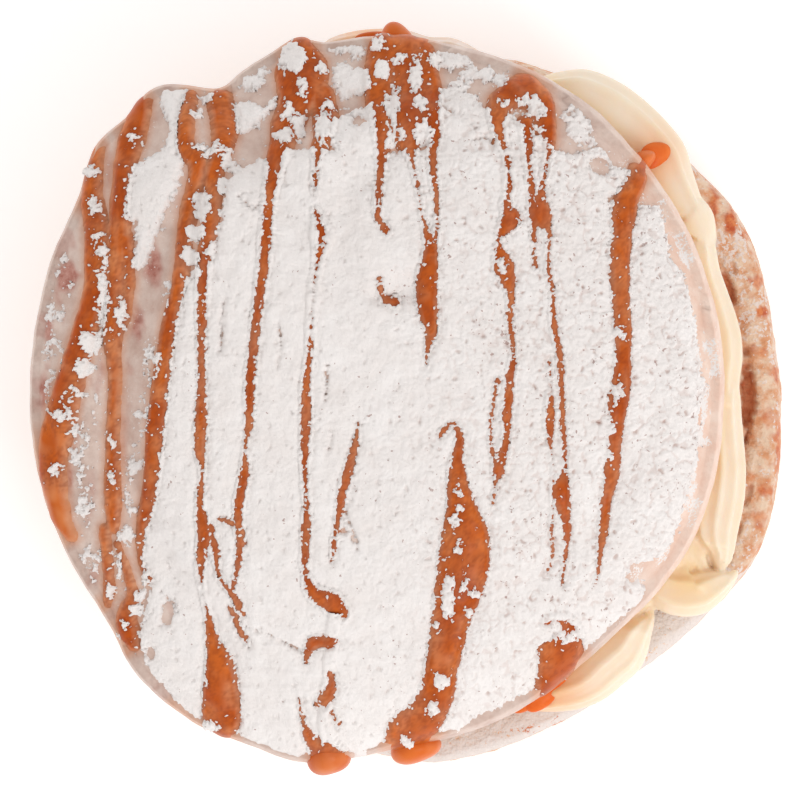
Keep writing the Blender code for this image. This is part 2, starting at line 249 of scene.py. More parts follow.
# mottle: two colours mixed by noise of one size, with a second, finer noise in it
mottle, mottleIn, mottleOut = newGroup(
    "mottle",
    [("Vector", "NodeSocketVector", (0, 0, 0)), ("Size", "NodeSocketFloat", 2.0),
     ("Detail", "NodeSocketFloat", 4.0), ("Low", "NodeSocketFloat", 0.4),
     ("High", "NodeSocketFloat", 0.6),
     ("First", "NodeSocketColor", (1, 1, 1, 1)), ("Second", "NodeSocketColor", (1, 1, 1, 1))],
    [("Color", "NodeSocketColor"), ("Mask", "NodeSocketFloat")])
mottleScale = addMath(mottle, "DIVIDE", 1000.0, mottleIn["Size"])
mottleNoise = addNode(mottle, "ShaderNodeTexNoise", {
    "Vector": mottleIn["Vector"], "Scale": mottleScale, "Detail": mottleIn["Detail"],
    "Roughness": 0.6}).outputs["Fac"]
mottleMask = addRange(mottle, mottleNoise, mottleIn["Low"], mottleIn["High"])
mottle.links.new(mottleMask, mottleOut["Mask"])
mottle.links.new(addMix(mottle, mottleMask, mottleIn["First"], mottleIn["Second"]),
                 mottleOut["Color"])

# sugarDust: white grains of one size scattered over a colour, as thick as Amount says
sugarDust, dustIn, dustOut = newGroup(
    "sugarDust",
    [("Vector", "NodeSocketVector", (0, 0, 0)), ("Amount", "NodeSocketFloat", 0.5),
     ("Size", "NodeSocketFloat", 0.5), ("Color", "NodeSocketColor", (1, 1, 1, 1)),
     ("Sugar", "NodeSocketColor", (1, 1, 1, 1)), ("Roughness", "NodeSocketFloat", 0.4)],
    [("Color", "NodeSocketColor"), ("Mask", "NodeSocketFloat"), ("Roughness", "NodeSocketFloat")])
dustScale = addMath(sugarDust, "DIVIDE", 1000.0, dustIn["Size"])
dustNoise = addNode(sugarDust, "ShaderNodeTexNoise", {
    "Vector": dustIn["Vector"], "Scale": dustScale, "Detail": 3.0,
    "Roughness": 0.7}).outputs["Fac"]
dustPatch = addNode(sugarDust, "ShaderNodeTexNoise", {
    "Vector": dustIn["Vector"], "Scale": addMath(sugarDust, "MULTIPLY", dustScale, 0.16),
    "Detail": 3.0}).outputs["Fac"]
dustSum = addMath(sugarDust, "ADD", dustNoise, addMath(sugarDust, "MULTIPLY", dustPatch, 0.5))
dustLimit = addRange(sugarDust, dustIn["Amount"], 0.0, 1.0, 1.05, 0.55)
dustMask = addRange(sugarDust, addMath(sugarDust, "SUBTRACT", dustSum, dustLimit), 0.0, 0.05)
sugarDust.links.new(dustMask, dustOut["Mask"])
sugarDust.links.new(addMix(sugarDust, dustMask, dustIn["Color"], dustIn["Sugar"]), dustOut["Color"])
dustRough = addMath(sugarDust, "ADD", dustIn["Roughness"],
                    addMath(sugarDust, "MULTIPLY", dustMask, 0.5), clamp=True)
sugarDust.links.new(dustRough, dustOut["Roughness"])

# crumbRelief: height of fine bumps of one size with pits between them
crumbRelief, reliefIn, reliefOut = newGroup(
    "crumbRelief",
    [("Vector", "NodeSocketVector", (0, 0, 0)), ("Size", "NodeSocketFloat", 0.5)],
    [("Height", "NodeSocketFloat")])
reliefScale = addMath(crumbRelief, "DIVIDE", 1000.0, reliefIn["Size"])
reliefBumps = addNode(crumbRelief, "ShaderNodeTexNoise", {
    "Vector": reliefIn["Vector"], "Scale": reliefScale, "Detail": 5.0,
    "Roughness": 0.65}).outputs["Fac"]
reliefCells = addNode(crumbRelief, "ShaderNodeTexVoronoi", {
    "Vector": reliefIn["Vector"],
    "Scale": addMath(crumbRelief, "MULTIPLY", reliefScale, 1.7)}).outputs["Distance"]
reliefPits = addMath(crumbRelief, "MULTIPLY", reliefCells, 0.35)
crumbRelief.links.new(addMath(crumbRelief, "SUBTRACT", reliefBumps, reliefPits),
                      reliefOut["Height"])

# pitted: a mask of fine pits, denser in patches and as Amount says
pitted, pittedIn, pittedOut = newGroup(
    "pitted",
    [("Vector", "NodeSocketVector", (0, 0, 0)), ("Size", "NodeSocketFloat", 1.0),
     ("Amount", "NodeSocketFloat", 0.5)], [("Mask", "NodeSocketFloat")])
pittedScale = addMath(pitted, "DIVIDE", 1000.0, pittedIn["Size"])
pittedNoise = addNode(pitted, "ShaderNodeTexNoise", {
    "Vector": pittedIn["Vector"], "Scale": pittedScale, "Detail": 2.0}).outputs["Fac"]
pittedPatch = addNode(pitted, "ShaderNodeTexNoise", {
    "Vector": pittedIn["Vector"], "Scale": addMath(pitted, "MULTIPLY", pittedScale, 0.1),
    "Detail": 2.0}).outputs["Fac"]
pittedLimit = addMath(pitted, "SUBTRACT", addRange(pitted, pittedIn["Amount"], 0, 1, 0.8, 0.62),
                      addRange(pitted, pittedPatch, 0.3, 0.7, -0.06, 0.06))
pitted.links.new(addRange(pitted, addMath(pitted, "SUBTRACT", pittedNoise, pittedLimit), 0.0, 0.04),
                 pittedOut["Mask"])
print("node groups made")


# the place on the piece, as Object coordinates in metres
def place(tree):
    return addNode(tree, "ShaderNodeTexCoord").outputs["Object"]


# a value that the mesh carries at each vertex
def attribute(tree, name):
    return addNode(tree, "ShaderNodeAttribute", attribute_name=name).outputs["Fac"]


# a group placed in a material with its own values
def placeGroup(tree, group, inputs):
    node = tree.nodes.new("ShaderNodeGroup")
    node.node_tree = group
    for key, value in inputs.items():
        feed(tree, value, node.inputs[key])
    return node.outputs


# a mottle in a material: size in mm, the noise's two limits, two screen colours and its
# detail, which is also how a piece's tones are written
def mottled(tree, here, size, limits, first, second, detail=4.0):
    return placeGroup(tree, mottle, {
        "Vector": here, "Size": size, "Low": limits[0], "High": limits[1],
        "First": paint(*first), "Second": paint(*second), "Detail": detail})["Color"]


# the mottle of each tone, by the name of the tone
def mottledTones(tree, here, tones):
    return {name: mottled(tree, here, *values) for name, values in tones.items()}


# colours laid over a tone one after another, each as far as the attribute of its name says
def layered(tree, tone, colours):
    for name, colour in colours.items():
        tone = addMix(tree, attribute(tree, name), tone, colour)
    return tone


# a tone under the grains of sugar that the dust attribute asks for, as the shader's colour
def dustOver(tree, shader, here, tone, size, sugarColour, roughness):
    dusted = placeGroup(tree, sugarDust, {
        "Vector": here, "Amount": attribute(tree, "dust"), "Size": size, "Color": tone,
        "Sugar": sugarColour, "Roughness": roughness})
    tree.links.new(dusted["Color"], shader.inputs["Base Color"])
    tree.links.new(dusted["Roughness"], shader.inputs["Roughness"])


# a bump of crumbs of one size in mm and one depth in metres
def roughen(tree, shader, here, size, depth):
    height = placeGroup(tree, crumbRelief, {"Vector": here, "Size": size})["Height"]
    bump = addNode(tree, "ShaderNodeBump", {"Height": height, "Distance": depth, "Strength": 1.0})
    tree.links.new(bump.outputs["Normal"], shader.inputs["Normal"])


# lid: a flattened dome in mm; past its outline the same plan runs down the flank
lid = dict(
    centre=(-8.0, 0.5), radius=58.0, widest=38.8, cut=31.3, rise=19.0, tuck=3.0,
    squareness=(2.6, 1.9),
    swells=[(28, 12, 0.3), (62, 24, 2.2), (90, 12, 1.6), (103, 3.5, 1.7), (108, 8, 1.3),
            (117, 3.5, -1.2), (126, 6, 5.2), (137, 7, 4.4), (150, 14, 1.3), (230, 8, 2.9),
            (241, 8, 3.2), (257, 12, 4.1), (312, 18, -2.2), (355, 12, -0.4)],
    seamCentre=(0.7, 0.0), seamRadius=51.2, seamDepth=3.0, seamWidth=3.3, seamArc=(84, 236),
    seamFade=14, coilDrop=1.8, coilReach=5.0,
    spiralCentre=(-3.8, 18.0), spiralStart=60.0, spiralFrom=253, spiralTurn=326,
    spiralDepth=0.9, spiralWidth=3.4, spiralTurns=2, spiralEnds=(20, 30),
    pitDepth=2.2, pitWidth=3.2, lumps=(0.22, 0.18), tuckCurve=1.6, rimFade=0.07,
    glazeDepth=0.5)


# how far below the dome a point of the plan lies: the coil's seam, its inner turns and its pit
def lidRelief(x, y):
    seamX, seamY = x - lid["seamCentre"][0], y - lid["seamCentre"][1]
    outside = np.hypot(seamX, seamY) - lid["seamRadius"]
    along = arcWindow(np.degrees(np.arctan2(seamY, seamX)), lid["seamArc"], lid["seamFade"])
    depth = along * (lid["seamDepth"] * bell(outside, lid["seamWidth"])
                     + lid["coilDrop"] * softStep(outside, 0, lid["coilReach"]))
    turnX, turnY = x - lid["spiralCentre"][0], y - lid["spiralCentre"][1]
    distance = np.hypot(turnX, turnY)
    around = np.degrees(np.arctan2(turnY, turnX))
    for turn in range(lid["spiralTurns"]):
        wound = (around - lid["spiralFrom"]) % 360 + 360 * turn
        inside = (softStep(lid["spiralTurn"] - wound, 0, lid["spiralEnds"][0])
                  * softStep(wound, 0, lid["spiralEnds"][1]))
        radius = lid["spiralStart"] * (1 - wound / lid["spiralTurn"])
        depth = depth + lid["spiralDepth"] * inside * bell(distance - radius, lid["spiralWidth"])
    depth = depth + lid["pitDepth"] * bell(distance, lid["pitWidth"])
    swell = (lid["lumps"][0] * np.sin(x / 7.4 + 1.3 + 0.8 * np.sin(y / 12))
             + lid["lumps"][1] * np.sin(y / 6.1 + 0.4 + 0.9 * np.sin(x / 9)))
    return depth - swell


# height over the rim at a share of its radius: rise times (1 - share^a)^(1/b)
def lidDome(share):
    inner = np.clip(share, 0.0, 1.0)
    return lid["rise"] * (1 - inner ** lid["squareness"][0]) ** (1 / lid["squareness"][1])


# points of the lid's skin for shares of the outline and directions in degrees
def lidSkin(share, angle):
    rim = swollen(angle, lid["radius"], lid["swells"])
    inner = np.clip(share, 0.0, 1.0)
    past = np.clip(share - 1.0, 0.0, 0.2) * rim
    east, north = np.cos(np.radians(angle)), np.sin(np.radians(angle))
    x = lid["centre"][0] + inner * rim * east
    y = lid["centre"][1] + inner * rim * north
    relief = lidRelief(x, y) * softStep(1.0 - inner, 0.0, lid["rimFade"])
    drawn = lid["tuck"] * (past / (lid["widest"] - lid["cut"])) ** lid["tuckCurve"]
    height = lid["widest"] + lidDome(share) - relief - past
    planX = lid["centre"][0] + share * rim * east
    planY = lid["centre"][1] + share * rim * north
    return np.stack([x - drawn * east, y - drawn * north, height], axis=-1), planX, planY


# share of the outline at each step of length from the crown down the dome and the flank
arcShares = np.concatenate([1 - np.linspace(1, 0, 3000) ** 2, 1 + np.linspace(0, 0.16, 400)[1:]])
arcX = np.clip(arcShares, 0, 1) * lid["radius"]
arcZ = lidDome(arcShares) - np.clip(arcShares - 1, 0, 1) * lid["radius"]
arcLengths = np.concatenate([[0], np.cumsum(np.hypot(np.diff(arcX), np.diff(arcZ)))])
flankEnd = float(np.interp(1 + (lid["widest"] - lid["cut"]) / lid["radius"], arcShares, arcLengths))


# outward directions of a grid of points: the cross product of its two slopes
def gridNormals(points):
    acrossRows = np.gradient(points, axis=0)
    alongRows = np.gradient(points, axis=1)
    normals = np.cross(alongRows, acrossRows)
    return normals / np.maximum(np.linalg.norm(normals, axis=-1, keepdims=True), 1e-9)


# a square net laid over the whole lid, its cells even along the skin
def lidNet(cell):
    reach = np.arange(-flankEnd, flankEnd + cell, cell)
    netX, netY = np.meshgrid(reach, reach)
    arc = np.hypot(netX, netY)
    share = np.interp(arc, arcLengths, arcShares)
    points, planX, planY = lidSkin(share, np.degrees(np.arctan2(netY, netX)))
    normals = gridNormals(points)
    normals = np.where(normals[..., 2:3] < -0.5, -normals, normals)
    return dict(points=points, normals=normals, x=planX, y=planY, share=share, arc=arc)


# a route through stations (x, y and any widths): a Catmull-Rom curve in even steps
def routeThrough(stations, step=0.5):
    given = np.array(stations, float)
    given = np.vstack([2 * given[0] - given[1], given, 2 * given[-1] - given[-2]])
    pieces = []
    for before, start, end, after in zip(given, given[1:], given[2:], given[3:]):
        count = max(1, int(math.hypot(*(end - start)[:2]) / step))
        t = np.linspace(0, 1, count, endpoint=False)[:, None]
        pieces.append(0.5 * (2 * start + (end - before) * t
                             + (2 * before - 5 * start + 4 * end - after) * t ** 2
                             + (3 * start - before - 3 * end + after) * t ** 3))
    return np.vstack(pieces + [given[-2][None]])


# points within reach of a route, with their distance and their nearest sample of it
def nearRoute(x, y, route, reach):
    best = np.full(x.size, 1e9)
    nearest = np.zeros(x.size, int)
    for first in range(0, len(route), 24):
        part = route[first:first + 24]
        inBox = np.flatnonzero((x > part[:, 0].min() - reach) & (x < part[:, 0].max() + reach)
                               & (y > part[:, 1].min() - reach) & (y < part[:, 1].max() + reach))
        apart = np.hypot(x[inBox, None] - part[None, :, 0], y[inBox, None] - part[None, :, 1])
        closest = apart.argmin(axis=1)
        distance = apart[np.arange(len(inBox)), closest]
        closer = distance < best[inBox]
        best[inBox[closer]] = distance[closer]
        nearest[inBox[closer]] = first + closest[closer]
    found = np.flatnonzero(best < reach)
    return found, best[found], nearest[found]


# signed distance to a closed outline, positive inside it
def outlineField(x, y, corners, reach=9.0):
    corners = np.array(corners, float)
    field = np.full(x.size, -reach)
    inBox = np.flatnonzero((x > corners[:, 0].min() - reach) & (x < corners[:, 0].max() + reach)
                           & (y > corners[:, 1].min() - reach) & (y < corners[:, 1].max() + reach))
    px, py = x[inBox], y[inBox]
    best = np.full(len(inBox), 1e9)
    inside = np.zeros(len(inBox), bool)
    for start, end in zip(corners, np.roll(corners, -1, axis=0)):
        side = end - start
        t = np.clip(((px - start[0]) * side[0] + (py - start[1]) * side[1]) / (side @ side), 0, 1)
        best = np.minimum(best, np.hypot(px - start[0] - t * side[0], py - start[1] - t * side[1]))
        crosses = (start[1] > py) != (end[1] > py)
        height = side[1] if abs(side[1]) > 1e-9 else 1e-9
        inside ^= crosses & (px < start[0] + (py - start[1]) * side[0] / height)
    field[inBox] = np.where(inside, best, -best)
    return field


# inside of an ellipse (x, y, half width, half height): 1 minus the reach, times its smaller half
def spotField(x, y, spot):
    return (1 - np.hypot((x - spot[0]) / spot[2], (y - spot[1]) / spot[3])) * min(spot[2], spot[3])


# caramel: each poured stripe as stations (x, y, width, width left bare of sugar) in mm;
# where the bare width is below 0 the sugar closes over the stripe
caramel = dict(
    plumpness=0.42, tallest=1.35, thinnest=0.3, fillet=0.5, wander=0.22, sink=0.5, cell=0.36,
    reach=6.5, outside=-6.0, wanderNoise=([(3.1, 1.0), (1.3, 0.45)], 41),
    rippleNoise=([(2.6, 0.13), (6.5, 0.12)], 47),
    tones=dict(thin=(2.4, (0.35, 0.65), (206, 136, 96), (214, 158, 124)),
               deep=(9.0, (0.38, 0.62), (174, 72, 18), (212, 112, 46), 1.5),
               veil=(4.6, (0.45, 0.7), (196, 90, 26), (216, 146, 102), 1.5),
               fresh=(4.0, (0.3, 0.7), (232, 100, 34), (240, 130, 64))),
    # highlightStreak: painted highlight, the pale colour of soft lamp reflections along the wide
    # stripes
    pool=(184, 84, 30), highlightStreak=(224, 164, 128), shade=(132, 56, 28), dust=(236, 228, 222),
    stripes=dict(
        leftEdge=[(-55.2, 42.7, 3, 1.6), (-56.2, 35.3, 3.9, 3.6), (-55, 27.5, 4.6, 4.1),
                  (-55.2, 18.2, 4.4, 3.9), (-58, 7.5, 4.6, 3.9), (-61.2, -3.3, 5.6, 4.6),
                  (-62.7, -11.7, 4.9, 4.4), (-61.4, -19.2, 3.9, 3.6), (-59.5, -22.7, 2.3, 2)],
        leftOuter=[(-47.8, 50.4, 3.9, 3.3), (-48.8, 45.3, 4.6, 3.9), (-50.4, 38.4, 3.9, 3),
                   (-51.1, 28.2, 3.9, 2.3), (-51.8, 16.5, 3, 1.5), (-52.2, 10.7, 3, 2.3),
                   (-51.7, 3.3, 2.2, 1.8), (-52, -6.6, 2.4, 2), (-52.1, -16.6, 3, 2.6),
                   (-52, -21.5, 2, 1.6)],
        outerFork=[(-50, 26.5, 3, 2.3), (-49.3, 20.7, 2, 1.3), (-49.9, 14.5, 2, 1.3),
                   (-51.2, 10.7, 2, 1.7), (-51.6, 6.6, 1, 0.8)],
        leftTail=[(-53.6, -21.6, 2, 1.6), (-53.2, -27.4, 2.1, 2), (-53.1, -31.7, 2, 1.6),
                  (-53.6, -34.4, 1.3, 1)],
        poolFeed=[(-51.5, -24, 1.3, 0.8), (-50.1, -28.2, 1.6, 1.1), (-49, -32.4, 2, 1.6),
                  (-50, -35.8, 3.6, 3.3), (-49.9, -38.8, 3.9, 3.3), (-49.1, -41.1, 2.3, 1.6)],
        leftInner=[(-39.1, 51.6, 2.6, 1.6), (-40, 46.7, 3, 2.3), (-39.8, 41.5, 3.3, 2.6),
                   (-37.9, 39.8, 3.3, 2.3), (-38.6, 34.7, 2.6, 2), (-39.6, 30.1, 2.9, 2.5),
                   (-40.3, 24.7, 2.9, 2.6), (-40.8, 19, 2.8, 2.4), (-42.2, 13.2, 2.9, 2.4),
                   (-43.4, 4.9, 3.3, 2.7), (-44.4, -3.3, 3.7, 3), (-45.2, -11.5, 3.5, 2.7),
                   (-46.1, -17.3, 3.1, 2.6), (-47.2, -21.5, 2.2, 1.7), (-47.4, -26.5, 1.3, 0.7),
                   (-46, -29.8, 1.6, 1.3)],
        leftLong=[(-34.5, 50.4, 4.3, 3.3), (-33.5, 45.7, 4.6, 3.9), (-33.8, 41.4, 3.6, 2.6),
                  (-35.1, 37.2, 3.3, 1.6), (-35.6, 30.5, 3, 1.6), (-36.6, 21.4, 3, 1.6),
                  (-36.9, 11.5, 2.3, 1.5), (-36.9, 4.9, 1.6, 1.3), (-37, -3.3, 2.6, 2.1),
                  (-37.2, -8.4, 2.3, 1.8), (-36.7, -11.4, 1.6, 0.8), (-37.2, -15.6, 2, 1.1),
                  (-36.6, -22.7, 3, 2.1), (-37.1, -26.9, 2.3, 1.5), (-36.7, -31.4, 1.6, 0),
                  (-35.9, -36.2, 2, 1.3), (-35.4, -39.8, 3, 2.3), (-34.3, -43.1, 4.9, 4.4),
                  (-34.1, -48.3, 6.6, 6.1), (-34.2, -52.7, 6.9, 6.6), (-34.2, -56.4, 5.6, 5.6)],
        topBlob=[(-21.4, 63.4, 3.6, 3.4), (-21.1, 59.5, 5.2, 4.6), (-20.8, 54.7, 9.5, 8.5),
                 (-21.6, 49.8, 6.6, 3.3), (-23.5, 44.7, 4.9, 2), (-24.8, 38.8, 3.9, 2),
                 (-25.9, 32.8, 3, 1.5), (-26.3, 26, 3, 1.6), (-27, 19.6, 2.6, 1.6),
                 (-28, 12, 2.3, 1.6), (-28.8, 3.3, 2.5, 1.5), (-29.1, -4.1, 2, 1.3),
                 (-29.8, -7.9, 1.3, 0.5), (-29.8, -11.5, 2.3, 1.6), (-30.9, -18.1, 2.3, 1.6),
                 (-30.5, -23.5, 2, 1.5), (-31, -27.3, 1.6, 1), (-31.8, -31, 1.6, 0.7)],
        topBlobSide=[(-17.2, 50.6, 4.3, 1.3), (-16.7, 45.5, 4.3, 1.3), (-18, 39.9, 2.3, 0.7),
                     (-18.3, 34.6, 2, 0.7)],
        crossing=[(-35.3, -20.6, 1.6, 1), (-34.6, -25.2, 2, 1.1), (-34.1, -29, 1.3, 0.8),
                  (-32.2, -31.7, 1.6, 1), (-30.7, -34.3, 2, 1.3), (-29.7, -35.7, 1.3, 0.5)],
        crossingTail=[(-32.4, -34.5, 1.3, 1), (-31.2, -37, 1.6, 1.3), (-30.3, -39.2, 1.3, 1),
                      (-29.3, -40.5, 1, 0.3)],
        bridge=[(-34.1, -19.6, 1, 0.7), (-32.3, -20.1, 1.3, 1), (-30.3, -20.9, 1, 0.7)],
        middleLeft=[(-18.1, 30.9, 2, 1), (-17.1, 27.1, 4.3, 1.3), (-17.8, 22.7, 2.3, 0.7),
                    (-18.6, 16.4, 2.3, 0), (-19.1, 8.2, 2, 0.8), (-19.7, 2, 2.3, 1.3),
                    (-19.7, -2.5, 2.6, 1.8), (-19.9, -8.2, 2.3, 1.3), (-19.9, -12.3, 2, 0.8),
                    (-19.6, -16.8, 2, 0.8), (-19.7, -20.5, 2.3, 1.5), (-19.8, -24.7, 2.3, 1.3),
                    (-19.8, -28.5, 2, 0.8), (-18.5, -31.6, 3.3, 2), (-15.5, -33.3, 4.6, 3.3),
                    (-13.7, -35.3, 3.4, 1.6), (-15.2, -36.8, 2.4, -1), (-16.8, -51.6, 2, -1),
                    (-16.4, -55.6, 3, -0.8), (-16.4, -57.6, 6, 4), (-16.4, -59.1, 6.6, 6.6),
                    (-16.2, -63.1, 6.2, 6.2), (-16.2, -66.2, 4.4, 4.4)],
        brokenUpper=[(-14.9, -39.6, 1.7, 1.2), (-16.6, -40, 2.5, 2.1), (-18.5, -40.1, 2.8, 2.4),
                     (-19.6, -41.8, 1.8, 1.4), (-19.9, -43.4, 1.1, 0.6)],
        brokenLower=[(-15.8, -45.1, 1.5, 1), (-15.5, -47.2, 2, 1.5), (-16.4, -49, 2.9, 2.5),
                     (-17.8, -50.3, 2, 1.4)],
        brokenEnd=[(-15.6, -51.6, 1, 0.5), (-14.8, -53.2, 1.4, 0.8), (-14.4, -54.6, 1, 0.4)],
        rimRun=[(-42.6, -50.9, 1.0, 1), (-41.2, -52.4, 1.7, 1.7), (-39, -54, 1.8, 1.8),
                (-36.6, -55.6, 1.2, 1.2)],
        leftCrack=[(-20.9, -49.8, 1, 0.5), (-20.5, -53, 1.3, 0.7), (-19.5, -55.7, 2.6, 2),
                   (-18.1, -58.1, 3.3, 3)],
        shortLeft=[(-11.2, -4.1, 1, 0.5), (-11.7, -7.5, 1.6, 1.3), (-12.8, -11.7, 2.1, 1.6),
                   (-13.7, -15.4, 2.1, 1.5), (-14.5, -20, 1.6, 1), (-15.3, -24.3, 1.5, 0.8),
                   (-15.5, -26.5, 0.8, 0.5)],
        topStreamLeft=[(-7.2, 61.5, 4.4, 3.6), (-7, 58.6, 5.6, 2.6), (-7.9, 51.4, 4.9, 2),
                       (-7.3, 44.6, 3.9, 2), (-7.4, 39.1, 2.3, 1.3), (-7.8, 33.9, 2, 1.1),
                       (-7.9, 30.1, 2, 1.1), (-6.6, 27.8, 2.3, 1.3)],
        topStreamLow=[(-7.7, 20, 1.3, 0.8), (-7.1, 17.1, 2, 1.3), (-5.3, 16.1, 2.6, 1.6)],
        topStream=[(-4.2, 66.0, 3.8, 3.8), (-3.8, 62.1, 5.6, 5.2), (-3, 57.7, 6.6, 3.9),
                   (-2.3, 49.7, 7.2, 2.3), (-3, 44.6, 6.6, 2.3), (-2.2, 39.1, 2, 0.7),
                   (-1.3, 34.6, 1.6, 0.5), (-0.7, 30.1, 1.3, 0.5), (0.8, 24.6, 3, 2.1),
                   (0.1, 19.5, 4.3, 3.6), (0.3, 14.8, 3.9, 3.3), (0.8, 11.2, 2.6, 2),
                   (0.1, 7.9, 1.3, 0.8), (0.1, 5.9, 0.8, 0.5)],
        topStreamRight=[(-0.3, 60.5, 3.6, 3.0), (-0.3, 56.8, 4.3, 3.3), (0.7, 49.7, 4.3, 2.6),
                        (1.3, 43.8, 3.3, 2), (1.1, 40.4, 2.3, 1.3), (1.3, 36.4, 2, 1.1),
                        (1.8, 32.1, 1.6, 1), (1.9, 28.8, 1.3, 0.5), (1.3, 25.5, 2, 1)],
        archLeft=[(14.4, 51.3, 4.9, 3.3), (12.1, 48.5, 4.3, 3), (12.1, 43.9, 3, 1.5),
                  (13.4, 40, 2.3, 0.8), (13.7, 35.5, 2.3, 0.8), (13.2, 32.1, 2.6, 1.3),
                  (13.8, 29.7, 4.3, 3.4), (12, 26.3, 2.3, 0.7), (12.8, 22, 4.3, 3.3),
                  (13.9, 17.6, 2.3, 1.5), (13.8, 13.1, 2, 1.1), (14.4, 7.9, 2, 0.8),
                  (13.8, 3.6, 2.3, 1.3), (13.3, -1.3, 2.6, 1.6), (13.1, -6.6, 2.3, 1.1),
                  (11.8, -11.8, 3, 2), (11.5, -13.5, 1.3, 0.7), (10.8, -17.3, 1.3, 0.3)],
        archLeftSide=[(11.8, 3.3, 1.3, 0.7), (10.8, -1.6, 1.3, 0.7), (10.6, -6.6, 1.3, 0.7),
                      (11.3, -10.7, 1.3, 0.7)],
        archRight=[(16.6, 51.8, 6.6, 3.9), (19, 49.3, 5.2, 3), (20, 44.8, 3.6, 2),
                   (20.4, 41.4, 2.3, 0.7), (19, 34.7, 2.3, 1.3), (19.1, 30.5, 4.3, 3.3),
                   (20.3, 27.2, 2, 0.7), (20.1, 22.2, 2, 0.8), (20.9, 17.3, 1.6, 0.7),
                   (21, 12.3, 2, 1), (21.9, 7.9, 2, 1.1), (22.3, 0.8, 2, 1), (22.5, -5.4, 2, 1),
                   (22.9, -11.5, 2, 0.8), (22.2, -14.8, 3.6, 3), (22.9, -18.9, 2.6, 1.8),
                   (23.2, -23.1, 2, 1), (22.8, -27.2, 1.5, 0.7), (22.5, -30.7, 0.8, 0.3)],
        archMiddle=[(16.6, 46.2, 3, 1.3), (16.9, 41.4, 3, 1.3), (17.3, 36.7, 2.3, 1),
                    (17.6, 31.3, 2.3, 1.3), (17.8, 25.5, 1.6, 0.7), (18.1, 21.7, 1.3, 0.5)],
        rightSpots=[(20.2, 6.2, 1.3, 0.8), (20.5, 2.5, 1.3, 0), (20.4, -2.5, 3, 1.6),
                    (20.4, -7.4, 1.6, 0.7), (20.9, -11.5, 1.3, 0), (20.7, -21.4, 1.3, 0.7),
                    (20.8, -26.1, 1.3, 0.7), (19.8, -28.9, 1.3, 0.3)],
        rightPool=[(20, -36.7, 2.6, 0.7), (23, -37.1, 4.6, 1.6), (22.6, -41.5, 8.5, 7.9),
                   (21.7, -45.3, 6.9, 6.2), (20.4, -48.9, 4.9, 4.6)],
        frontTop=[(2.4, -5.6, 1.6, 1), (4.2, -3.9, 1.6, 1), (5.5, -6.2, 2.1, 1.5),
                  (5.1, -9.8, 3, 2.1), (5.2, -13.8, 4.3, 3.6), (5.7, -17.1, 5.2, 4.6),
                  (6.2, -20.5, 7.5, 6.9), (6.4, -23.5, 8.9, 8.2), (6.2, -27.1, 9.2, 8.5),
                  (5.4, -31.3, 8.5, 7.9), (4.3, -35.4, 7.2, 6.6), (3.3, -40.4, 6.6, 5.9),
                  (2.5, -44.7, 6.2, 5.6), (1.7, -48.9, 6.6, 5.9), (-0.1, -52.5, 7.2, 6.6),
                  (-2.3, -55.6, 8.9, 8.5), (-2.6, -58.8, 9.2, 8.9), (-2.6, -61.9, 7.2, 7.2),
                  (-2.8, -64.6, 4.6, 4.6)],
        rightEdge=[(36.7, 40.3, 3.6, 3.3), (35.2, 36.7, 3.9, 3.4), (33.8, 33.9, 4.3, 3.8),
                   (32.9, 31, 4.9, 4.4), (32.5, 27.8, 4.3, 3.6), (32.1, 24, 4.3, 3.6),
                   (32.1, 20.7, 3.9, 3.4), (32.2, 16.5, 3.6, 3), (32.5, 12, 3.6, 3.1),
                   (32.5, 8.3, 3.3, 2.6), (32.2, 2.8, 3.9, 3.3), (31.5, -1.6, 3.9, 3.3),
                   (31.3, -6.1, 3, 2.1), (30.7, -11.7, 3.3, 2.5), (29.9, -15.7, 2.6, 2),
                   (29.4, -21.1, 2.3, 1.6), (28.8, -25.6, 1.6, 1), (28.3, -30.3, 1, 0.5)]))


# height of the caramel over the dough, how far inside a stripe a point is, and how far inside
# the widths left bare; thickness times the root of 1 - (1 - inset over half width)^2
def caramelFields(x, y):
    height = np.full(x.size, -caramel["sink"] * 2)
    within = np.full(x.size, caramel["outside"])
    bare = np.full(x.size, caramel["outside"])
    wander = grains(x, y, *caramel["wanderNoise"]) * caramel["wander"]
    ripple = grains(x, y, *caramel["rippleNoise"])
    for stations in caramel["stripes"].values():
        route = routeThrough(stations)
        found, distance, nearest = nearRoute(x, y, route, caramel["reach"])
        half = np.maximum(route[nearest, 2] * 0.5, 0.25)
        inset = np.clip((half + wander[found] - distance) / half, -3.0, 1.0)
        thickness = np.minimum(caramel["plumpness"] * half + caramel["thinnest"],
                               caramel["tallest"]) * (1 + ripple[found])
        plump = thickness * np.sqrt(np.clip(1 - (1 - np.clip(inset, 0, 1)) ** 2, 0, 1))
        stripe = np.where(inset > 0, plump, inset * half * 0.9)
        height[found] = blendMax(height[found], stripe, caramel["fillet"])
        within[found] = np.maximum(within[found], inset * half)
        bare[found] = np.maximum(bare[found], route[nearest, 3] * 0.5 - distance)
    return np.maximum(height, -caramel["sink"]), within, bare


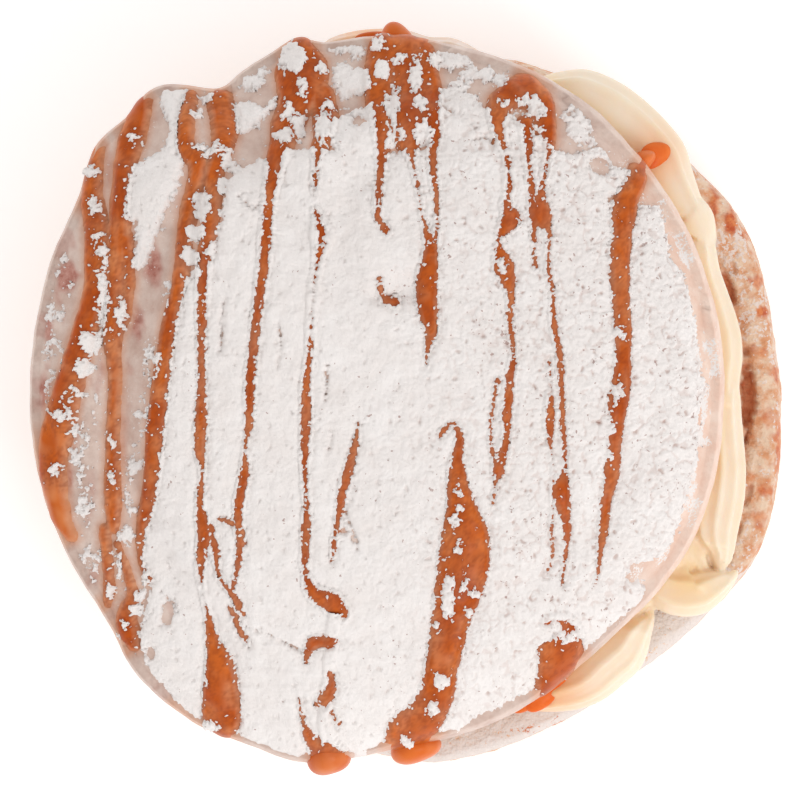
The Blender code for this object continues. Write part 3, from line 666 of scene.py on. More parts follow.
# sugar: sheets (closed outlines), spots (x, y, half width, half height), scattered zones
# (the same and how thick), windows left open, and cracks (x, y) with a width, all in mm
sugar = dict(
    cell=0.19, thickness=0.85, thin=0.5, slope=0.2, ragged=0.85, bite=0.55, sink=0.35,
    pebble=0.26, pit=0.35, outside=-9.0, crackReach=3.0, thinnest=0.08,
    noise=dict(fine=([(1.9, 0.35), (0.9, 0.45), (0.48, 0.5)], 9),
               edge=([(4.2, 0.5), (1.9, 0.45)], 3),
               warpX=([(1.7, 0.7), (0.8, 0.3)], 25), warpY=([(1.7, 0.7), (0.8, 0.3)], 26),
               blots=([(3.2, 0.6), (1.5, 0.5)], 21), flecks=([(1.2, 0.9), (0.5, 0.9)], 31),
               lumps=([(5.2, 0.22), (2.3, 0.26)], 61), pits=([(1.4, 0.8), (0.7, 0.5)], 71),
               bentX=([(2.1, 0.9), (0.9, 0.35)], 67), bentY=([(2.1, 0.9), (0.9, 0.35)], 68),
               grit=([(0.8, 0.45), (0.42, 0.4)], 69)),
    pebbles=dict(edge=(0.8, 11), fine=(0.5, 12), large=(1.3, 63), small=(0.62, 64)),
    # low: painted shade, a warm darker powder colour for hollows among the pebbles and thin edges
    powder=(5.0, (0.3, 0.7), (240, 232, 228), (246, 240, 237)), low=(212, 190, 182),
    pitColour=(150, 104, 92),
    sheets=dict(
        main=[(-33.5, 33), (-33, 36.5), (-30.5, 39), (-27, 40), (-25, 38.5), (-23, 41.5),
              (-15.5, 41.5), (-15.5, 46), (-13.5, 47.5), (-11, 48.5), (-7.5, 48), (-7, 41),
              (-2.5, 41), (1.5, 41.5), (1.5, 46.5), (2.5, 52), (5, 52), (8, 50.5), (11, 48),
              (11.5, 45.5), (13.5, 47), (17.5, 45), (21.5, 41.5), (25.5, 41), (29.5, 42.5),
              (31, 39.5), (34.5, 38), (32.5, 35), (30.5, 33.5), (35, 32.5), (39, 32.5), (40, 28.5),
              (40.5, 24), (43, 21.5), (44, 18), (45, 13.5), (45.5, 7), (46.5, 2), (45.5, -3.5),
              (45.5, -10), (44, -14), (43.5, -18.5), (42, -21.5), (40.5, -25.5), (37.5, -27),
              (34, -27.5), (34, -29.5), (37, -31.5), (36.5, -34), (34, -35.5), (31, -37.5),
              (29, -40.5), (25, -42.5), (22.5, -46.5), (20, -48.5), (15, -49.5), (12.5, -51.5),
              (9.5, -52.5), (6.5, -56), (2.5, -59), (-2, -64), (-12.5, -66), (-17.5, -67),
              (-23.5, -65), (-28.5, -62), (-34, -58.5), (-38.5, -54.5), (-42.5, -50), (-46.5, -45),
              (-48, -41.5), (-47, -35.5), (-46, -31.5), (-47, -26.5), (-47.5, -21.5),
              (-46.5, -17.5), (-46, -11.5), (-45, -3.5), (-44, 3.5), (-43.5, 9), (-42, 16.5),
              (-40, 20.5), (-37, 20), (-35.5, 23), (-34.5, 28)],
        leftSlab=[(-44, 52), (-39.5, 52.5), (-39.5, 49), (-41, 45.5), (-41, 41), (-40, 39.5),
                  (-40.5, 36.5), (-42, 33.5), (-43.5, 30.5), (-44.5, 28), (-46, 24), (-47.5, 21.5),
                  (-49, 22), (-48.5, 25.5), (-48, 29.5), (-50, 30.5), (-51, 35), (-50, 38),
                  (-47, 40), (-44.5, 41), (-43.5, 43), (-43, 45.5), (-44, 48.5), (-45, 51)],
        topSlab=[(-32, 49.5), (-30, 50), (-27, 49), (-25, 50.5), (-25, 48.5), (-27, 47),
                 (-29.5, 44.5), (-31, 44), (-32, 46)],
        crownSlab=[(-15.5, 55.5), (-13.5, 56.5), (-12, 55.5), (-9.5, 55), (-9, 51.5), (-12, 51),
                   (-14, 50), (-15.5, 52)]),
    spots=[(-22, 56.5, 2.3, 2.3), (-17.5, 55, 1, 1), (-20.5, 52, 0.8, 1.3), (-22.5, 47.5, 1, 1.5),
           (-21, 45.5, 1.1, 1.8), (-23.5, 43.5, 1.8, 1), (-17, 45, 1.3, 2.3),
           (-16.5, 48.5, 1, 0.8), (-8, 59, 1.1, 1.1), (-7, 54.5, 1.5, 1.5), (-4.5, 56.5, 1, 0.8),
           (-5.5, 48, 1.3, 3.1), (-4, 43.5, 0.5, 1.5), (-6, 43, 1, 1.3), (-1.5, 53.5, 1.1, 3),
           (-1, 49, 1.1, 1.5), (-0.5, 44, 1.5, 2.3), (-29.5, 53.5, 2, 1.3), (-27.5, 55, 1, 0.8),
           (-13.5, 59, 2.3, 0.7), (-11.5, 58.5, 1.1, 1), (1.5, 57, 1.5, 1.3), (5, 57, 3, 1.5),
           (7.5, 54.5, 1.5, 1.6), (10, 54.5, 1.5, 1.5), (12.5, 53.5, 1.3, 1.3),
           (5.5, 52.5, 1.6, 1), (4, 50.5, 1.3, 1), (13, 49, 1, 0.5), (16, 49.5, 0.8, 0.5),
           (18, 48, 1.3, 1.6), (18.5, 45, 0.7, 0.7), (14.5, 43.5, 1.3, 4.3), (15, 37, 1.3, 2.3),
           (18.5, 39.5, 1.3, 3.9), (12.5, 22, 1, 1.1), (24.5, 49, 0.7, 1.1), (25.5, 45.5, 2, 2.8),
           (23.5, 47, 1, 0.8), (27.5, 43, 1.1, 0.7), (-38, 48, 1, 0.8), (-38, 42, 1, 0.8),
           (-35.5, 41.5, 1.3, 1), (-36.5, 50.5, 1.3, 0.7), (-33, 40, 1, 2),
           (-33.5, 35.5, 0.8, 1.3), (-31.5, 38, 1, 1), (-48.5, 43.5, 0.8, 0.7),
           (-37, 32, 1.5, 2.6), (-38, 27.5, 1.6, 1.6), (-38.5, 23.5, 1.3, 1.6), (-38, 21, 1, 1.3),
           (-35, 24.5, 1, 1.1), (-34, 19, 1.1, 1.1), (-34.5, 22, 0.8, 0.7), (-55.5, 38, 0.7, 0.8),
           (-55, 32, 0.8, 1.5), (-54.5, 27, 1, 0.8), (-53.5, 24, 0.7, 2), (-53.5, 16.5, 0.8, 5.9),
           (-55.5, 9.5, 1.5, 2), (-56.5, 5.5, 1.3, 1.5), (-50.5, 14.5, 0.8, 2.5),
           (-60.5, -2.5, 1, 0.8), (-61.5, -11.5, 0.7, 0.7), (-52, -7, 0.5, 1.1),
           (-52, -13, 0.5, 1.1), (-50, -37, 0.5, 0.5), (-51.5, -39, 0.5, 0.5),
           (-47.5, -32.5, 0.8, 1), (-48, -35, 1, 1), (-46.5, -29, 0.7, 2.5),
           (-51.5, -27.5, 0.5, 2.3), (-52.5, -32, 1, 1.1), (-50, -22.5, 1.3, 1.3),
           (5.5, -15, 0.5, 0.7), (5.5, -17.5, 0.5, 0.7), (4.5, -20, 0.8, 1.1), (5, -24, 0.7, 0.8),
           (3.5, -30.5, 0.8, 1.5), (3.5, -33, 0.8, 2.3), (6, -30, 0.5, 1), (7, -35, 0.8, 1),
           (1.5, -37, 0.7, 0.8), (2.5, -46, 1.3, 1.3), (1, -50.5, 1, 1.3), (-3.5, -56.5, 1, 0.7),
           (8, -31.5, 1, 0.7), (21, -38, 1.1, 1.6), (23.5, -39, 2, 0.8), (31.5, 11, 1, 1.1),
           (31.5, 1.5, 0.8, 1.5), (30, -4.5, 0.7, 1.6), (29.5, -9.5, 0.8, 1.1),
           (-16, 26, 1.1, 1.5), (-16.5, 29, 0.8, 0.8), (-36.5, -54, 2.3, 0.8),
           (-37, -46, 0.7, 1.1)],
    zones=[(-62.5, 11.5, 2.5, 11.5, 0.5), (-60.5, 21, 2, 4.9, 0.35), (-63, 1.5, 1.6, 6.6, 0.4),
           (-57.5, -8.5, 2.3, 8.2, 0.62), (-57, -17.5, 2.6, 5.9, 0.6), (-56, -26.5, 2.6, 4.3, 0.6),
           (-58.5, 0, 3, 3.3, 0.45), (-54.5, -3.5, 1.3, 6.6, 0.4), (-45.5, 6.5, 2.3, 5.6, 0.62),
           (-47, -2.5, 2.3, 4.9, 0.5), (-48.5, -10, 2, 6.6, 0.5), (-43, 18, 1.3, 4.3, 0.5),
           (-49, -16.5, 1.6, 4.3, 0.5), (-43.5, -40, 2.6, 2.6, 0.3)],
    windows=[(29, 39, 2, 1.6), (-43, -35, 1, 2), (-13.5, -21.5, 0.5, 0.5), (35.5, -29.5, 2, 1.1),
             (-46, -42.5, 0.8, 1.1), (-11.5, 46.5, 1.3, 0.7)],
    cracks=[([(1.8, 49.3), (4.6, 47.8), (6.5, 47)], 0.4), ([(7.4, 45.6), (8.2, 45.1)], 0.35),
            ([(8.2, 43), (9.6, 43.4), (11, 42.6)], 0.4),
            ([(-29.7, -37.3), (-24.7, -39.5), (-20, -42)], 0.28),
            ([(-49.5, -11.2), (-48.5, -14.3), (-47.7, -17)], 0.35),
            ([(-12.2, -22.3), (-11.4, -24.5)], 0.4),
            ([(-13.6, -17.3), (-12.4, -20.7), (-11.4, -23.4)], 0.5),
            ([(-15.2, -4.9), (-16.4, -9)], 0.22),
            ([(-30.9, 33.5), (-28.4, 31.6), (-26.8, 33)], 0.35),
            ([(-24.3, 12.6), (-23.8, 9), (-24.5, 5.6)], 0.26),
            ([(-33.2, 16.7), (-33.5, 13.1), (-33.8, 8)], 0.3),
            ([(-16.4, 5.7), (-16.3, 2.5), (-16.6, 0)], 0.26), ([(37.4, 14), (36.9, 12.4)], 0.3)])


# the sum of the grains that the sugar keeps under this name, at points in mm
def sugarNoise(x, y, name):
    return grains(x, y, *sugar["noise"][name])


# the pebbles that the sugar keeps under this name, at points in mm
def sugarPebbles(x, y, name):
    return pebbles(x, y, *sugar["pebbles"][name])


# how far inside the sugar a point is, in mm, negative where the caramel or glaze is bare,
# and 1 on the thick sheets fading to 0 on the thin spots
def sugarCover(x, y, bare):
    roundEdge, roundFine = sugarPebbles(x, y, "edge") - 0.5, sugarPebbles(x, y, "fine") - 0.5
    fine = sugarNoise(x, y, "fine") + 0.35 * roundFine
    edge = sugarNoise(x, y, "edge") + 0.5 * roundEdge + 0.7 * fine
    sheet = np.full(x.size, sugar["outside"])
    for corners in sugar["sheets"].values():
        sheet = np.maximum(sheet, outlineField(x, y, corners))
    for window in sugar["windows"]:
        sheet = np.minimum(sheet, -spotField(x, y, window))
    for points, width in sugar["cracks"]:
        found, distance, _ = nearRoute(x, y, routeThrough(points), sugar["crackReach"])
        sheet[found] = np.minimum(sheet[found], (distance - width * 0.5 + 0.1) * 1.6)
    spots = np.full(x.size, sugar["outside"])
    warpX = x + sugarNoise(x, y, "warpX")
    warpY = y + sugarNoise(x, y, "warpY")
    for spot in sugar["spots"]:
        spots = np.maximum(spots, spotField(warpX, warpY, spot))
    thick = np.zeros(x.size)
    for zone in sugar["zones"]:
        inside = np.clip(2 * spotField(x, y, zone) / min(zone[2], zone[3]), 0, 1)
        thick = np.maximum(thick, inside * zone[4])
    blots = sugarNoise(x, y, "blots") + 0.3 * roundEdge + 0.8 * fine
    scattered = np.where(thick > 0, blots - 0.75 + 1.15 * thick, sugar["outside"])
    near = softStep(np.maximum(np.minimum(sheet, -bare), spots), -3.0, -0.3)
    flecks = np.where(near > 0, 0.5 * (sugarNoise(x, y, "flecks") - 0.7) - (1 - near) * 0.3,
                      sugar["outside"])
    firm = np.minimum(sheet + sugar["ragged"] * edge,
                      sugar["bite"] * (fine + 0.4 * roundEdge) - bare)
    loose = np.maximum(np.maximum(spots + 0.85 * fine + 0.2 * roundEdge, scattered), flecks)
    return np.maximum(firm, loose), softStep(firm, -0.2, 1.6)


# thickness of the sugar: lumps times 1 - e^(-cover / slope), sinking away outside its edge;
# with it how low each point lies among the pebbles or at a thin edge, which the colour uses as
# painted shade, and how pitted it is, both 0 to 1
def sugarHeight(x, y, cover, sheet):
    lumps = 1 + sugarNoise(x, y, "lumps")
    pits = softStep(sugarNoise(x, y, "pits"), 0.42, 0.75)
    pebbly = 0.5 + 0.5 * softStep(x + 8 * grain(x, y, 14, 66), -20, 30)  # more of it on the right
    bentX = x + sugarNoise(x, y, "bentX")
    bentY = y + sugarNoise(x, y, "bentY")
    large = sugarPebbles(bentX, bentY, "large")
    full = ((sugar["thin"] + (sugar["thickness"] - sugar["thin"]) * sheet) * lumps
            + sugar["pebble"] * pebbly * (large + 0.45 * sugarPebbles(bentX, bentY, "small") - 0.6
                                          + sugarNoise(x, y, "grit"))
            - sugar["pit"] * pits)
    inside = (np.maximum(full, sugar["thinnest"])
              * (1 - np.exp(-np.clip(cover, 0, 9) / sugar["slope"])))
    # painted shade: low is high in pits, between the large pebbles and at the thin edges of the
    # sugar
    low = np.clip(0.8 * pits + 0.5 * softStep(0.35 - large, 0, 0.5), 0, 1)
    low = np.maximum(low * softStep(pebbly, 0.45, 1.0), 0.2 * softStep(0.25 - cover, 0, 0.25))
    height = np.where(cover > 0, inside, np.maximum(cover, -sugar["sink"]))
    return height, low, pebbly


net = lidNet(sugar["cell"])
netShape = net["x"].shape
onLid = (net["arc"] < flankEnd).ravel()
flatX, flatY = net["x"].ravel()[onLid], net["y"].ravel()[onLid]
caramelOnLid, withinOnLid, bareOnLid = caramelFields(flatX, flatY)
coverOnLid, sheetOnLid = sugarCover(flatX, flatY, bareOnLid)
sugarOnLid, lowShadeOnLid, pitsOnLid = sugarHeight(flatX, flatY, coverOnLid, sheetOnLid)


# values on the lid's part of the net, with one value everywhere else
def overNet(values, elsewhere):
    field = np.full(onLid.size, float(elsewhere))
    field[onLid] = values
    return field


caramelNet = overNet(caramelOnLid, -caramel["sink"])
withinNet = overNet(withinOnLid, caramel["outside"])
coverNet = overNet(coverOnLid, sugar["outside"])
liftNet = overNet(np.maximum(caramelOnLid, 0) + sugarOnLid, 0)
lowShadeNet, pitsNet = overNet(lowShadeOnLid, 0), overNet(pitsOnLid, 0)
print("sugar and caramel laid out on", int(onLid.sum()), "points")


# some faces of a mesh with just the points they use, and which points those are
def meshPart(points, faces):
    used = np.unique(faces)
    renumber = np.full(len(points), -1)
    renumber[used] = np.arange(len(used))
    return points[used], renumber[faces], used


# dough of the lid: rings from the crown to the flank's foot, then its flat cut face,
# and cinnamon that shows through the glaze in spots (x, y, half width, half height)
dough = dict(
    angles=520, rings=124, firstRings=(0.4, 1.2), under=6, underShares=(0.97, 0.03),
    glazeEnd=4.6, glazeWave=1.6, glazeThick=0.22, glazeNoise=([(7, 1.0), (3, 0.6)], 5),
    wrinkleNoise=([(5.0, 0.12), (2.2, 0.07)], 15), streakNoise=([(6.0, 1.0), (2.5, 0.6)], 81),
    dustNoise=([(2.2, 1.0), (0.9, 0.5)], 83), spiceNoise=([(2.2, 0.8), (0.9, 0.4)], 84),
    tones=dict(glaze=(4.5, (0.35, 0.65), (201, 171, 157), (223, 201, 189)),
               rim=(3.6, (0.35, 0.65), (228, 190, 170), (238, 212, 196)),
               crust=(4.5, (0.3, 0.7), (206, 140, 84), (228, 176, 120)),
               spice=(1.4, (0.35, 0.62), (168, 100, 84), (200, 148, 134))),
    stain=(214, 146, 104), dust=(236, 228, 224), roughness=(0.38, 0.62),
    spices=[(-60.1, 20.8, 2.3, 3), (-45.3, 22.2, 1.5, 4), (-48.1, 12.6, 1.2, 3.6),
            (-64.2, 1, 1.3, 4), (-63.4, 11.8, 1.2, 3.6), (-60, -13, 1.2, 3)])

doughMaterial, tree, shader = newMaterial("glazed dough", {
    "Specular IOR Level": 0.3, "Coat Roughness": 0.3, "Coat Weight": 0.08})
here = place(tree)
tones = mottledTones(tree, here, dough["tones"])
tone = layered(tree, tones["glaze"], {
    "warmth": tones["rim"], "cinnamon": tones["spice"], "stain": paint(*dough["stain"]),
    "crust": tones["crust"]})
dustOver(tree, shader, here, tone, 0.42, paint(*dough["dust"]),
         addRange(tree, attribute(tree, "crust"), 0, 1, *dough["roughness"]))
roughen(tree, shader, here, 1.6, 0.00025)

ringArc = np.concatenate([dough["firstRings"][:1],
                          np.linspace(dough["firstRings"][1], flankEnd, dough["rings"])])
ringShare = np.interp(ringArc, arcLengths, arcShares)
angles = np.arange(dough["angles"]) * 360.0 / dough["angles"]
skin, planX, planY = lidSkin(ringShare[:, None], angles[None, :])
skinNormal = gridNormals(np.concatenate([skin[:, -1:], skin, skin[:, :1]], axis=1))[:, 1:-1]
skinNormal = np.where(skinNormal[..., 2:3] < -0.5, -skinNormal, skinNormal)
body = skin - lid["glazeDepth"] * skinNormal
past = np.clip(ringShare[:, None] - 1, 0, 1) * lid["radius"] + 0 * angles[None, :]
glazeLine = dough["glazeEnd"] + dough["glazeWave"] * grains(
    20 * np.cos(np.radians(angles)), 20 * np.sin(np.radians(angles)), *dough["glazeNoise"])[None, :]
crust = softStep(past - glazeLine, -0.3, 0.3)
body = body - dough["glazeThick"] * crust[..., None] * skinNormal
wrinkle = grains(planX, planY, *dough["wrinkleNoise"])
body = body + (wrinkle * softStep(ringShare[:, None], 0.1, 0.3))[..., None] * skinNormal
foot = body[-1]
centreLine = np.array([*lid["centre"], lid["cut"]])
underShares = np.linspace(*dough["underShares"], dough["under"])[:, None, None]
under = centreLine + (foot - centreLine)[None] * underShares
under[..., 2] = lid["cut"]
rings = np.concatenate([body, under])
points, quads, fans = closedBody(rings)


# a value for each ring and direction, with the flat underside and the two poles added
def overBody(field):
    field = np.broadcast_to(field, past.shape)
    flat = np.repeat(field[-1:], dough["under"], axis=0)
    return np.concatenate([field.ravel(), flat.ravel(), [field[0].mean(), field[-1].mean()]])


warm = softStep(planX, 26, 44) * softStep(ringShare[:, None], 0.75, 0.9)
streakNoise = grains(planX * 2.2, planY * 0.8, *dough["streakNoise"])
leftFlank = softStep(-planX, 36, 48) * softStep(ringShare[:, None], 0.55, 0.7)
spiceX = planX + grains(planX, planY, *dough["spiceNoise"])
spicePlaces = np.max([spotField(spiceX, planY, spot) for spot in dough["spices"]], axis=0)
cinnamon = np.maximum(0.45 * leftFlank * softStep(streakNoise, 0.15, 0.7),
                      softStep(spicePlaces, -0.3, 0.9))
overRim = np.radians(angles)[None, :] * lid["radius"]
outward = ringShare[:, None] * lid["radius"]
streakDust = grains(overRim / 2.6 + 0 * planX, outward * 1.1, *dough["dustNoise"])
dust = (0.08 + 0.14 * softStep(1.02 - ringShare[:, None], 0, 0.1)
        + 0.62 * warm * softStep(streakDust, 0.0, 0.35)
        * softStep(1.0 - ringShare[:, None], -0.005, 0.03))
withinHere = caramelFields(planX.ravel(), planY.ravel())[1].reshape(planX.shape)
stain = 0.6 * softStep(withinHere, -1.5, 0.4)
lidDough = buildPiece("lid_dough", points, [quads, fans], doughMaterial, {
    "warmth": overBody(warm), "cinnamon": overBody(cinnamon * (1 - crust)),
    "crust": overBody(crust), "dust": overBody(dust * (1 - crust)), "stain": overBody(stain)})
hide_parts("lid")


# points of the net lifted along its normals, over the dough
def lifted(lift):
    normals = net["normals"].reshape(-1, 3)
    return net["points"].reshape(-1, 3) + normals * (lift - lid["glazeDepth"])[:, None]


caramelMaterial, tree, shader = newMaterial("poured caramel", {"Specular IOR Level": 0.1})
here = place(tree)
tones = mottledTones(tree, here, caramel["tones"])
# painted highlight: pale streaks stretched along the stripes stand in for soft reflections of the
# lamp
flow = addNode(tree, "ShaderNodeVectorMath", {0: here, 1: (1.0, 0.2, 1.0)}, operation="MULTIPLY")
highlightStreaks = placeGroup(tree, mottle, {"Vector": flow.outputs["Vector"], "Size": 4.0, "Low": 0.56,
                     "High": 0.74, "Detail": 1.0})["Mask"]
depth = attribute(tree, "within")
tone = addMix(tree, 0.45, tones["deep"], tones["veil"])
tone = addMix(tree, addMath(tree, "MULTIPLY", highlightStreaks, 0.3), tone, paint(*caramel["highlightStreak"]))
tone = addMix(tree, addRange(tree, depth, 1.5, 3.2, 0.0, 0.65), tone, paint(*caramel["pool"]))
tone = addMix(tree, addRange(tree, depth, 0.0, 1.1), tones["thin"], tone)
tone = layered(tree, tone, {"shade": paint(*caramel["shade"]), "fresh": tones["fresh"]})
dustOver(tree, shader, here, tone, 0.4, paint(*caramel["dust"]), 0.3)
roughen(tree, shader, here, 4.0, 0.00012)

caramelStep = max(1, round(caramel["cell"] / sugar["cell"]))
coarse = (slice(None, None, caramelStep), slice(None, None, caramelStep))
coarseShape = net["x"][coarse].shape
caramelPoints = lifted(caramelNet).reshape(*netShape, 3)[coarse].reshape(-1, 3)
caramelDepth = caramelNet.reshape(netShape)[coarse].ravel()
fromSheet = softStep(coverNet, -0.8, 0).reshape(netShape)[coarse].ravel()
within = withinNet.reshape(netShape)[coarse].ravel()
faces = gridFaces(*coarseShape)
faces = faces[(caramelDepth > -caramel["sink"] + 0.02)[faces].any(axis=1)]
points, faces, used = meshPart(caramelPoints, faces)
stripes = buildPiece("caramel_stripes", points, [faces], caramelMaterial, {
    "within": within[used], "dust": 0.15 * fromSheet[used], "fresh": 0 * within[used],
    "shade": 0.55 * fromSheet[used]})

sugarMaterial, tree, shader = newMaterial("icing sugar", {
    "Roughness": 0.95, "Specular IOR Level": 0.1})
here = place(tree)
pits = placeGroup(tree, pitted, {"Vector": here, "Size": 0.8, "Amount": attribute(tree, "pits")})
# the low colour is painted shade in the hollows and at the thin edges
tone = layered(tree, mottled(tree, here, *sugar["powder"]), {"low": paint(*sugar["low"])})
tone = addMix(tree, addMath(tree, "MULTIPLY", pits["Mask"], 0.65), tone, paint(*sugar["pitColour"]))
tree.links.new(tone, shader.inputs["Base Color"])
roughen(tree, shader, here, 0.36, 0.00016)

sugarPoints = lifted(liftNet)
quads = gridFaces(*netShape)
quadX = net["points"].reshape(-1, 3)[quads[:, 0], 0]
covered = ((coverNet[quads] > -0.3).all(axis=1) & (coverNet[quads] > 0).any(axis=1)
           & (net["arc"].ravel()[quads].max(axis=1) < flankEnd))
bands = dict(left=(-90, -32), middleLeft=(-32, -16), middle=(-16, 0), middleRight=(0, 17),
             right=(17, 90))
for band, (low, high) in bands.items():
    inBand = quads[covered & (quadX >= low) & (quadX < high)]
    points, faces, used = meshPart(sugarPoints, inBand)
    crustPiece = buildPiece("sugar_" + band, points, [faces], sugarMaterial, {
        "low": lowShadeNet[used], "pits": 0.1 + 0.6 * pitsNet[used]})
print("lid dressed")


# custard: a core between the halves, and shells piped along their outer edges; each shell is
# its outer edge (x, y, half width) and its ridges (direction round the section, height, spread)
custard = dict(
    centreX=-1, around=108, along=120, routeStep=0.3, middle=25.6, tallness=1.3, tallest=5.35,
    voxel=0.36, smoothing=3, peachArc=(71, 118),
    tones=dict(cream=(9.0, (0.3, 0.7), (241, 221, 194), (243, 227, 206)),
               peach=(3.0, (0.35, 0.65), (228, 198, 176), (232, 214, 202))),
    # goldenAndShadeTone: partly the custard's deeper yellow, partly painted shade from the lid's
    # rim
    goldenAndShadeTone=(238, 200, 136), stain=(240, 168, 104), stainShare=0.75, stainReach=1.4,
    bed=dict(arc=(106, -66), step=-4.0, radius=52.4, half=6.0,
             swells=[(30, 14, 2.4), (-31, 8, 3.6)]),
    core=dict(radius=50.5, low=20.0, high=31.3, angles=360, rings=40, edge=4.5, roundness=2.3,
              ridge=0.5, ridgeCount=40, goldenAndShade=0.45,
              swells=[(180, 60, 2.2), (250, 25, 1.5), (120, 30, 1.5), (20, 65, -3.5)]),
    # goldenAndShade spots: the low pocket, painted as shade as well as a deeper yellow
    goldenAndShade=[(44.5, -30.4, 4.5, 0.7), (46.5, -25.5, 3.0, 0.4)],
    shells=dict(
        crown=([(-19.5, 58.2, 2), (-16.8, 61.4, 3), (-12.5, 62.9, 4), (-7.7, 63.4, 4),
                (-3.4, 63.2, 4), (0.8, 62, 4), (4.2, 61.9, 4), (7, 60.9, 4), (10.5, 58.9, 4),
                (14.2, 57.3, 4), (18, 55.6, 3), (21, 53.4, 2)], [(50, 0.45, 8)]),
        upper=([(15.5, 52.6, 1.5), (18, 54.2, 4), (21, 55.6, 6), (25.7, 56.5, 7), (29.1, 56.1, 8),
                (33.8, 53.9, 8), (38, 50.7, 8.2), (41.8, 46.9, 8.2), (44.4, 43.3, 8),
                (45.5, 39.6, 7.4), (46.6, 36.2, 6.6), (47.8, 32.5, 5.6),
                (48.2, 28.5, 3)], [(48, 0.7, 6)]),
        knob=([(45.6, 35.6, 2.5), (47.5, 34.2, 4), (49.1, 32, 5), (49.7, 29, 5.2),
               (49.6, 26.4, 4.5), (48.6, 24.6, 2.5)], []),
        side=([(47.6, 32.0, 2.4), (48.9, 28.6, 3.8), (49.7, 25.6, 4.2), (50.3, 22.4, 4.4),
               (51.7, 18.4, 4.6), (53, 14.7, 4.8), (53.9, 11.3, 5), (54.2, 7.2, 5), (53.7, 3.2, 5),
               (53.6, -1, 4.6), (53.4, -5, 3.4)],
              [(62, 0.5, 6), (30, 0.45, 7)]),
        fold=([(52.6, 6, 2), (53.3, 2.6, 3.6), (53.7, -0.4, 4.6), (54.1, -4.8, 5),
               (54.6, -10.2, 5.2), (54.7, -13, 5.4), (54.4, -17.4, 5.6), (53.2, -23, 5.2),
               (52.2, -27, 3.4), (50.6, -29.6, 1.6), (49.4, -30.4, 0.5)],
              [(28, 0.65, 6), (54, 0.7, 6), (80, 0.75, 6), (106, 0.7, 7)]),
        inner=([(47.6, -14, 2), (47.4, -18.5, 3), (47.6, -23, 3.2), (48.2, -27, 2.6),
                (49, -29.6, 1.2), (49.3, -30.6, 0.5)],
               [(48, 0.8, 8), (84, 0.8, 8), (120, 0.7, 9)]),
        lower=([(53.6, -28.8, 0.8), (53.2, -30.6, 2.2), (51.8, -32.8, 3.4), (50.2, -34.6, 4),
                (48.2, -36.2, 4.6), (45.8, -36.9, 5), (43.2, -36.9, 5), (40.2, -36, 4.8),
                (36.8, -33.6, 4), (34.6, -31, 2)], [(58, 0.65, 8), (100, 0.55, 9), (128, 0.6, 8)]),
        front=([(38.8, -35.4, 1.2), (39.2, -37.2, 3), (38.6, -40.4, 4.8), (37.8, -43.6, 5.6),
                (36.5, -46.1, 6), (33.6, -48.7, 6), (30.5, -51.1, 5.6), (26.9, -52.6, 5),
                (22.6, -53.2, 4.4), (18, -53, 3), (14.5, -52, 1.2)],
               [(50, 0.6, 8), (82, 0.6, 9)])))


# a piped shell inside its outer edge: an ellipse (half width, half height) carried along it,
# with a bell for each ridge, narrowing to its ends as the root of 1 - |2t - 1|^6
def pipedShell(edge, ridges):
    route = routeThrough(edge, custard["routeStep"])
    index = np.linspace(0, len(route) - 1, custard["along"])
    line = np.stack([np.interp(index, np.arange(len(route)), route[:, k]) for k in range(3)],
                    axis=-1)
    ahead = np.gradient(line[:, :2], axis=0)
    ahead /= np.linalg.norm(ahead, axis=1, keepdims=True)
    outward = np.stack([-ahead[:, 1], ahead[:, 0]], axis=-1)
    t = np.linspace(0, 1, custard["along"])
    ends = np.sqrt(np.clip(1 - np.abs(2 * t - 1) ** 6, 0, 1)) + 0.01
    half = line[:, 2] * ends
    tall = np.minimum(half * custard["tallness"], custard["tallest"])
    around = np.linspace(0, 360, custard["around"], endpoint=False)
    grown = sum((height * bell(wrapped(around - direction), spread)
                 for direction, height, spread in ridges), 0 * around)
    grown = grown[None, :] * softStep(half, 0.3, 3.0)[:, None]
    reach = (half[:, None] + grown) * np.cos(np.radians(around))[None, :] - half[:, None]
    x = line[:, :1] + outward[:, :1] * reach
    y = line[:, 1:2] + outward[:, 1:2] * reach
    z = custard["middle"] + (tall[:, None] + grown) * np.sin(np.radians(around))[None, :]
    return np.stack([x, y, z], axis=-1)


# caramel that ran off the lid, as drops on the custard and beads at the lid's rim: middle
# (x, y, z), half sizes along, across and up, direction, and how fresh the colour is
drips = dict(
    around=48, rings=24, waves=3, waveHeight=0.08, within=1.4,
    drops=[((38.5, 41.3, 29.9), (3.2, 2.5, 1.5), 35, 0.8),
           ((36.8, 39.4, 30.0), (2.6, 1.5, 1.2), 40, 0.8),
           ((20.6, -49.3, 29.9), (4.9, 2.3, 1.5), 38, 0.9),
           ((17.4, -51.2, 29.2), (3.2, 1.5, 1.3), 25, 0.7),
           ((-9.6, 61.6, 29.4), (3.4, 0.9, 1.2), 12, 0.3)],
    beads=[((-5.0, 60.7, 34.6), (2.9, 3.0, 3.8), 0, 0.3),
           ((-16.4, -59.4, 39.2), (3.7, 3.7, 5.6), 0, 0.35),
           ((-1.9, -58.3, 36.4), (4.3, 3.0, 5.2), 10, 0.45),
           ((36.9, 40.5, 33.6), (2.1, 1.6, 3.8), 40, 0.5)])

custardMaterial, tree, shader = newMaterial("piped custard", {
    "Roughness": 0.34, "Specular IOR Level": 0.35, "Subsurface Weight": 0.4,
    "Subsurface Radius": (1.0, 0.75, 0.5), "Subsurface Scale": 0.0035})
here = place(tree)
tones = mottledTones(tree, here, custard["tones"])
# golden: the custard's deeper yellow mixed with painted shade near the lid and in the gaps
tone = layered(tree, tones["cream"], {
    "goldenAndShade": paint(*custard["goldenAndShadeTone"]), "peach": tones["peach"],
    "stained": paint(*custard["stain"])})
tree.links.new(tone, shader.inputs["Base Color"])
roughen(tree, shader, here, 2.4, 0.00008)

